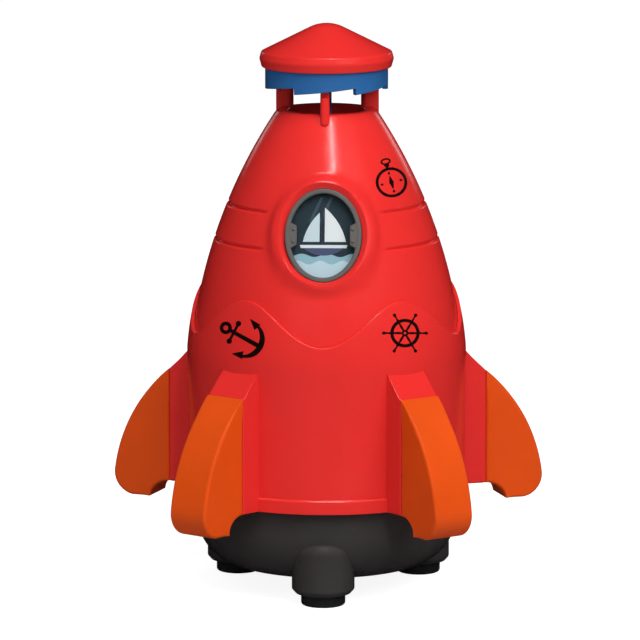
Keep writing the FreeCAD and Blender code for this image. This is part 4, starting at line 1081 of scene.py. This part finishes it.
def finish(context, key):
    """The material for a slot, made the first time that a piece asks for it."""
    name = f"finish_{key}"
    if name in bpy.data.materials:
        return bpy.data.materials[name]
    tones = context.scene.rocket_colours
    makers = {
        "red_shell": lambda: moulded(name, tones.shell, 0.22, 0.03, shine=0.35, coat=0.1, rubbed=0.12),
        "black_base": lambda: moulded(name, tones.base, 0.42, 0.12, grain=0.05, shine=0.15, rubbed=0.4),
        "orange_fin": lambda: moulded(name, tones.fin, 0.5, cloud=0.06, grain=0.05, shine=0.2),
        "blue_rotor": lambda: moulded(name, tones.rotor, 0.38, cloud=0.08),
        "grey_tube": lambda: moulded(name, tones.tube, 0.4, cloud=0.06),
        "white_nylon": lambda: moulded(name, tones.nylon, 0.45, cloud=0.04),
        "window_trim": lambda: moulded(name, tones.trim, 0.36, cloud=0.08, grain=0.03),
        "rubber_seal": lambda: rubber(name, tones.rubber),
        "steel_screw": lambda: turned_metal(name, tones.steel),
        "clear_lens": lambda: clear(name),
        "picture_card": lambda: printed(name),
        "sign_ink": lambda: printed(name, tones.print),
        "floor_paper": lambda: floor_paper(name),
    }
    return makers[key]()


CAD_FINISHES = {
    "black_base": ["base_cover"],
    "red_shell": ["axle_bracket"],
    "grey_tube": ["water_manifold", "launch_tube", "inlet_spigot", "guide_tube", "window_retainer"],
    "white_nylon": ["nozzle_tip", "thrust_ring", "inlet_filter"],
    "rubber_seal": ["tube_seal", "inlet_seal"],
    "steel_screw": [
        "rotor_clip", "cover_screws", "manifold_screws", "body_screws", "fin_screws", "cap_screws",
    ],
}


# --- Operators ----------------------------------------------------------------------


class RocketOperator(bpy.types.Operator):
    """Shared options of the rocket's operators."""

    bl_options = {"REGISTER", "UNDO"}

    def execute(self, context):
        self.build(context, context.scene.rocket_sizes)
        return {"FINISHED"}


class ROCKET_OT_nose(RocketOperator):
    """Build the nose shell with its grooves, its raised window port and its rim"""

    bl_idname = "rocket.nose"
    bl_label = "Nose shell"

    def build(self, context, sizes):
        shell = Shell().add(*nose_shell(sizes, NoseSurface(sizes)))
        for turn in POST_TURNS:
            points, faces = plate(post_outline(sizes), sizes.post_width, 1.75 * MM, 7)
            shell.add(stand(points, turn), faces)
        make_piece(context, shell, "nose", "rocket", "red_shell", ["nose_shell"])


class ROCKET_OT_skirt(RocketOperator):
    """Build the skirt with its wavy edge, its hem and the five fin blocks"""

    bl_idname = "rocket.skirt"
    bl_label = "Skirt shell"

    def build(self, context, sizes):
        shell = Shell().add(*skirt_shell(sizes, NoseSurface(sizes)))
        for turn in FIN_TURNS:
            points, faces = root_block(sizes)
            shell.add(stand(points, turn), faces)
        make_piece(context, shell, "skirt", "rocket", "red_shell", ["skirt_shell"])


class ROCKET_OT_fins(RocketOperator):
    """Build the five curved fins"""

    bl_idname = "rocket.fins"
    bl_label = "Fins"

    def build(self, context, sizes):
        for node, turn in zip(FIN_NODES, FIN_TURNS):
            outline, heel = fin_outline(sizes)
            points, faces = plate(outline, sizes.fin_width, fin_edges(sizes, outline, heel))
            shell = Shell().add(stand(points, turn), faces)
            name = node.replace("fin", "curved_fin")
            make_piece(context, shell, name, "rocket", "orange_fin", [node])


class ROCKET_OT_crown(RocketOperator):
    """Build the toothed rotor and the cap over it"""

    bl_idname = "rocket.crown"
    bl_label = "Rotor and cap"

    def build(self, context, sizes):
        rotor = Shell().add(*rotor_ring(sizes)).add(*rotor_core(sizes))
        for vane in range(VANES):
            rotor.add(*rotor_vane(sizes, (vane + 0.5) * 360 / VANES))
        make_piece(context, rotor, "toothed_rotor", "head", "blue_rotor", ["rotor"])
        cap = Shell().add(*lathe(cap_profile(sizes), closed=False))
        make_piece(context, cap, "cone_cap", "head", "red_shell", ["cap"])


class ROCKET_OT_base(RocketOperator):
    """Build the bowl, its three domed legs and their soft pads"""

    bl_idname = "rocket.base"
    bl_label = "Base"

    def build(self, context, sizes):
        shell = Shell().add(*lathe(bowl_profile(sizes), closed=False))
        drained_floor(shell, sizes)
        for turn in LEG_TURNS.values():
            points, faces = lathe(leg_profile(sizes), 72, closed=False)
            shell.add(points + around(sizes.leg_circle, 0, math.radians(turn)), faces)
        shell.add(*inlet_boss(sizes))
        make_piece(context, shell, "bowl", "base", "black_base", ["base_bowl"])
        for node, turn in LEG_TURNS.items():
            points, faces = lathe(pad_profile(), 72, closed=False)
            pad = Shell().add(points + around(sizes.leg_circle, 0, math.radians(turn)), faces)
            name = node.replace("foot_pad", "soft_foot")
            make_piece(context, pad, name, "base", "rubber_seal", [node])


def bowl_profile(sizes):
    """A bowl of one wall: flat floor, big corner arc, upright side and round lip."""
    radius, wall, corner = sizes.bowl_radius, sizes.bowl_wall, sizes.bowl_arc
    flat = radius - corner
    low, rise = sizes.bowl_low, sizes.bowl_low + corner
    outer = arc((flat, low), (radius, rise), corner, 28)
    corners = [
        (radius, rise + 1 * MM),
        (radius, sizes.bowl_rim),
        (radius - wall, sizes.bowl_rim),
        (radius - wall, rise),
    ]
    lip = rounded(corners, np.array([0, 0.9, 0.6, 0]) * MM, 5)
    inner = arc((flat, low + wall), (radius - wall, rise), corner - wall, 16)[::-1]
    return np.concatenate([outer, lip, inner[1:]])


def drained_floor(shell, sizes):
    """Add the bowl's flat floor: two skins round the drain holes, and the holes' walls."""
    low, high = sizes.bowl_low, sizes.bowl_low + sizes.bowl_wall
    turn = np.linspace(0, FULL_TURN, COLUMNS, endpoint=False)
    centres = around(sizes.drain_circle, 0, np.radians(DRAIN_TURNS))
    loops = [around(sizes.bowl_radius - sizes.bowl_arc, 0, turn)]
    hole = [(sizes.drain_radius, high), (sizes.drain_radius, low)]
    for centre in centres:
        loops.append(centre + around(sizes.drain_radius, 0, turn[::4]))
        points, faces = lathe(hole, COLUMNS // 4, closed=False)
        shell.add(centre + points, faces)
    edges = []
    for loop in loops:
        first, count = len(edges), len(loop)
        edges += [(first + step, first + (step + 1) % count) for step in range(count)]
    flat = [Vector(point[:2]) for point in np.concatenate(loops)]
    corners, _, triangles, *_ = geometry.delaunay_2d_cdt(flat, edges, [], 1, 1e-7)
    corners, triangles = np.array(corners), np.array(triangles)
    from_drains = corners[triangles].mean(axis=1)[:, None] - centres[:, :2]
    nearest = np.hypot(from_drains[..., 0], from_drains[..., 1]).min(axis=1)
    triangles = triangles[nearest > sizes.drain_radius]
    for level, faces in ((low, triangles[:, ::-1]), (high, triangles)):
        shell.add(np.column_stack([corners, np.full(len(corners), level)]), faces)


def leg_profile(sizes):
    """A stout round leg: chamfered foot, upright side and domed top, closed on the axis."""
    radius, low, top = sizes.leg_radius, sizes.leg_low, sizes.leg_top
    corners = [(0, low), (radius - 1.6 * MM, low), (radius, low + 1.8 * MM), (radius, top), (0, top)]
    return rounded(corners, np.array([0, 0.4, 1.2, 5.5, 0]) * MM, 8)


def pad_profile():
    """A soft pad under a leg, with a rounded sole and a plug that holds it."""
    radius, plug, thick, high = 9.1 * MM, 3 * MM, 5 * MM, 8 * MM
    corners = [(0, 0), (radius, 0), (radius, thick), (plug, thick), (plug, high), (0, high)]
    return rounded(corners, np.array([0, 1.2, 0.5, 0, 0.4, 0]) * MM, 6)


def inlet_boss(sizes):
    """The round boss for the hose tail at the rear, turned about a line along +Y."""
    bore, radius, height = 6.1 * MM, 8.8 * MM, 20 * MM
    start, end = sizes.bowl_radius - 19 * MM, sizes.bowl_radius + 0.8 * MM
    corners = [(bore, start), (radius, start), (radius, end), (bore, end)]
    points, faces = lathe(rounded(corners, np.array([0, 0, 0.6, 0.3]) * MM, 5), 64)
    return np.stack([points[..., 0], points[..., 2], height - points[..., 1]], axis=-1), faces


def port_oval(sizes):
    """Half the width and half the height of the pieces that fill the window's hole."""
    gap = 0.1 * MM
    return sizes.port_half_width - gap, sizes.port_half_height - gap


def window_rim(sizes, surface):
    """A round-edged band with a tab on each side."""
    points, faces = oval_ring(*port_oval(sizes), 2.0 * MM, 2.0 * MM, 0.5 * MM)
    rim = Shell().add(surface.in_window(points, -2.4 * MM), faces)
    for side in (-1, 1):
        points, faces = plate(bezel_tab(sizes, side), 1.9 * MM, 0.35 * MM)
        rim.add(surface.in_window(points, -1.5 * MM), faces)
    return rim


def window_rivets(sizes, surface):
    """Two low round heads on short shanks in each tab."""
    rivets = Shell()
    radius, depth = 0.75 * MM, 2.3 * MM
    corners = [(0, -depth), (radius, -depth), (radius, -0.1 * MM), (0, 0)]
    profile = rounded(corners, np.array([0, 0, 0.3, 0]) * MM, 4)
    beside, above = port_oval(sizes)[0] - 3.7 * MM, 2.5 * MM
    for side in (-1, 1):
        for up in (-above, above):
            points, faces = lathe(profile, 32, closed=False)
            rivets.add(surface.in_window(points + (side * beside, up, 0)), faces)
    return rivets


def window_lens(sizes, surface):
    """A flat oval pane with rounded edges."""
    points, faces = plate(ellipse(*port_oval(sizes)), 1.4 * MM, 0.3 * MM)
    return Shell().add(surface.in_window(points, -3.2 * MM), faces)


class ROCKET_OT_window(RocketOperator):
    """Build the window's rim with its tabs and rivets, its lens and its picture"""

    bl_idname = "rocket.window"
    bl_label = "Window"

    def build(self, context, sizes):
        pieces = (
            ("window_rim", window_rim, "window_trim", "window_bezel"),
            ("rim_rivets", window_rivets, "window_trim", "window_rivets"),
            ("oval_lens", window_lens, "clear_lens", "window_lens"),
            ("boat_picture", picture_card, "picture_card", "window_picture"),
        )
        surface = NoseSurface(sizes)
        for name, maker, slot, node in pieces:
            make_piece(context, maker(sizes, surface), name, "rocket", slot, [node])


def below_wave(half_width, half_height, level, wave, crests, phase):
    """The part of an oval below a wavy line: wave times the sine of across."""
    half, tall = half_width * 0.995, half_height * 0.995
    across = np.linspace(-1, 1, 61)
    height = level + wave * np.sin(across * crests * math.pi + phase)
    visible = np.abs(height) < tall * np.sqrt(np.clip(1 - across**2, 0, 1))
    wavy = np.stack([across[visible] * half, height[visible]], axis=-1)
    ends = np.arctan2(wavy[[0, -1], 1] / half_height, wavy[[0, -1], 0] / half)
    turn = np.linspace(ends[0] + (FULL_TURN if ends[0] < 0 else 0), ends[1] + FULL_TURN, 50)[1:-1]
    oval = np.stack([half * np.cos(turn), tall * np.sin(turn)], axis=-1)
    return np.concatenate([oval, wavy[::-1]])


def picture_layers(half_width, half_height):
    """The picture from back to front: each layer's outline, level, thickness and tint.

    Lengths are millimetres, and levels count outwards from the card's face.
    """
    sky, painted_glare, sea, foam = (35, 50, 58), (62, 80, 90), (150, 190, 205), (196, 222, 232)
    hull, deck, mast = (76, 82, 116), (228, 238, 240), (52, 46, 60)
    bright_sail, shaded_sail = (236, 243, 244), (206, 226, 232)
    yield ellipse(half_width, half_height), -0.29, 0.3, sky
    # Two pale diagonal bands across the dark sky: painted reflection, the lens's glare printed into the
    # picture.
    for left in (-1.6, 2.4):
        band = [(left - 4.6, 6.0), (left - 3.2, 6.0), (left + 1.4, 16.5), (left + 0.2, 16.5)]
        yield band, 0, 0.03, painted_glare
    yield below_wave(half_width, half_height, -7.6, 0.7, 3, 0.6), 0, 0.05, sea
    yield arc((-8.6, -4.2), (8.8, -4.2), 12.5), 0.03, 0.06, hull
    yield [(-9.2, -4.6), (9.4, -4.6), (9.8, -3.3), (-9.6, -3.3)], 0.05, 0.06, deck
    yield [(-0.9, -3.4), (-0.2, -3.4), (-0.2, 13.2), (-0.9, 13.2)], 0.03, 0.05, mast
    main_sail = arc((9.2, -2.0), (0.5, 12.2), 26, 14)
    yield [(0.5, -2.0), *main_sail], 0.04, 0.06, bright_sail
    fore_sail = arc((-1.6, 10.2), (-8.4, -2.0), 24, 14)
    yield [*fore_sail, (-1.6, -2.0)], 0.04, 0.06, shaded_sail
    yield below_wave(half_width, half_height, -10.6, 0.8, 3.4, 2.4), 0.06, 0.07, foam


def picture_card(sizes, surface):
    """A little sailing boat on waves under a dark sky, in thin layers on a card."""
    shell = Shell()
    face, edge = -4.21 * MM, 0.02 * MM
    for outline, level, thick, tint in picture_layers(*np.array(port_oval(sizes)) / MM):
        points, faces = plate(np.array(outline) * MM, thick * MM, edge, 1)
        middle = face + (level + thick / 2) * MM
        tones = tuple(linear(channel) for channel in tint)
        shell.add(surface.in_window(points, middle), faces, tones)
    return shell


class ROCKET_OT_signs(RocketOperator):
    """Lay the printed anchor, wheel and compass on the shells"""

    bl_idname = "rocket.signs"
    bl_label = "Printed signs"

    def build(self, context, sizes):
        surface = NoseSurface(sizes)

        def skirt_radius(height):
            """The skirt's radius at a height."""
            return skirt_outer(sizes, surface, height)

        signs = (
            ("anchor_sign", anchor_strokes(), 62, skirt_radius, -35.3, 111.4 * MM),
            ("wheel_sign", wheel_strokes(), 0, skirt_radius, 36.3, 113.3 * MM),
            ("compass_sign", compass_strokes(), 16, surface.radius, 49.2, 172.2 * MM),
        )
        for name, strokes, tilt, radius_at, degrees, height in signs:
            shell = Shell()
            lay_on(shell, strokes, tilt, radius_at, degrees, height)
            make_piece(context, shell, name, "rocket", "red_shell", ink="sign_ink", sharp_angle=60)


class ROCKET_OT_fittings(RocketOperator):
    """Give the carried-over fittings their plastics, rubber and steel"""

    bl_idname = "rocket.fittings"
    bl_label = "Fittings"

    def build(self, context, sizes):
        for key, nodes in CAD_FINISHES.items():
            material = finish(context, key)
            for fitting in [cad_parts[node] for node in nodes]:
                if not fitting.material_slots:
                    fitting.data.materials.append(material)
                for slot in fitting.material_slots:
                    slot.material = material


class ROCKET_OT_stage(RocketOperator):
    """Set the pale floor, the soft lights and the camera"""

    bl_idname = "rocket.stage"
    bl_label = "Stage"

    def build(self, context, sizes):
        mesh = bpy.data.meshes.new("floor")
        rim = around(6.0, 0, np.linspace(0, FULL_TURN, 96, endpoint=False))
        mesh.from_pydata(rim.tolist(), [], [list(range(len(rim)))])
        mesh.materials.append(finish(context, "floor_paper"))
        floor = bpy.data.objects.new("floor", mesh)
        floor.visible_glossy = False
        context.scene.collection.objects.link(floor)
        make_world(context, 0.17)
        target = Vector((0, 0, 0.12))
        add_light(context, "key", target, 40, 36, 1.5, (0.9, 0.9), 11.5, glare=False)
        add_light(context, "fill", target, -16, 30, 1.6, (1.0, 1.2), 6, glare=False)
        add_light(context, "strip", target, 14, 54, 1.3, (0.05, 0.5), 4)
        add_light(context, "overhead", target, 6, 72, 1.2, (0.5, 0.1), 2.6)
        add_light(context, "left_edge", target, -150, 14, 1.1, (0.12, 0.2), 0.12)
        add_light(context, "right_edge", target, 150, 14, 1.1, (0.12, 0.2), 0.16)
        make_camera(context)
        context.scene.view_settings.view_transform = "Standard"


def direction(azimuth, elevation):
    """From the rocket towards a light or camera: azimuth 0 is the front, -Y."""
    turn, rise = math.radians(azimuth), math.radians(elevation)
    return Vector((math.sin(turn) * math.cos(rise), -math.cos(turn) * math.cos(rise), math.sin(rise)))


def make_world(context, strength):
    """White all round: bright behind the rocket, and dimmer as a light on it."""
    world = bpy.data.worlds.new("studio")
    context.scene.world = world
    world.use_nodes = True
    tree = world.node_tree
    back = tree.nodes["Background"]
    back.inputs["Color"].default_value = (1, 1, 1, 1)
    brighten(tree, back.inputs["Strength"], strength, 1.02)
    world.cycles_visibility.glossy = False


def add_light(context, name, target, azimuth, elevation, distance, size, power, glare=True):
    """A rectangle of light facing the target; without glare it leaves no reflection."""
    data = bpy.data.lights.new(name, "AREA")
    data.shape = "RECTANGLE"
    data.size, data.size_y = size
    data.energy = power
    light = bpy.data.objects.new(name, data)
    towards = direction(azimuth, elevation)
    light.location = target + towards * distance
    light.visible_glossy = glare
    light.rotation_euler = towards.to_track_quat("Z", "Y").to_euler()
    context.scene.collection.objects.link(light)


def make_camera(context):
    """A long lens a little above the window, looking slightly down."""
    data = bpy.data.cameras.new("camera")
    data.sensor_width = 36
    data.lens = 299
    data.shift_x, data.shift_y = -0.0103, -0.0198
    camera = bpy.data.objects.new("camera", data)
    back = direction(1.82, math.degrees(LOOK_DOWN))
    camera.location = Vector((0, 0, 0.1163)) + back * 2.209
    camera.rotation_euler = back.to_track_quat("Z", "Y").to_euler()
    context.scene.collection.objects.link(camera)
    context.scene.camera = camera


class ROCKET_PT_panel(bpy.types.Panel):
    """The rocket's makers in the sidebar"""

    bl_idname = "ROCKET_PT_panel"
    bl_label = "Water Rocket"
    bl_space_type = "VIEW_3D"
    bl_region_type = "UI"
    bl_category = "Rocket"

    def draw(self, context):
        for operator in OPERATORS:
            self.layout.operator(operator.bl_idname)
        for group in (context.scene.rocket_sizes, context.scene.rocket_colours):
            box = self.layout.box()
            for key in group.bl_rna.properties.keys():
                if key not in ("rna_type", "name"):
                    box.prop(group, key)


OPERATORS = (
    ROCKET_OT_stage,
    ROCKET_OT_nose,
    ROCKET_OT_skirt,
    ROCKET_OT_fins,
    ROCKET_OT_crown,
    ROCKET_OT_base,
    ROCKET_OT_window,
    ROCKET_OT_signs,
    ROCKET_OT_fittings,
)
CLASSES = (RocketSizes, RocketColours, *OPERATORS, ROCKET_PT_panel)


def register():
    for item in CLASSES:
        bpy.utils.register_class(item)
    bpy.types.Scene.rocket_sizes = bpy.props.PointerProperty(type=RocketSizes)
    bpy.types.Scene.rocket_colours = bpy.props.PointerProperty(type=RocketColours)


def unregister():
    del bpy.types.Scene.rocket_colours
    del bpy.types.Scene.rocket_sizes
    for item in reversed(CLASSES):
        bpy.utils.unregister_class(item)


def corners(box):
    """A box's corners as plain lists."""
    return [list(corner) for corner in box]


def main():
    register()
    for operator in OPERATORS:
        group, name = operator.bl_idname.split(".")
        getattr(getattr(bpy.ops, group), name)()


if __name__ == "__main__":
    main()
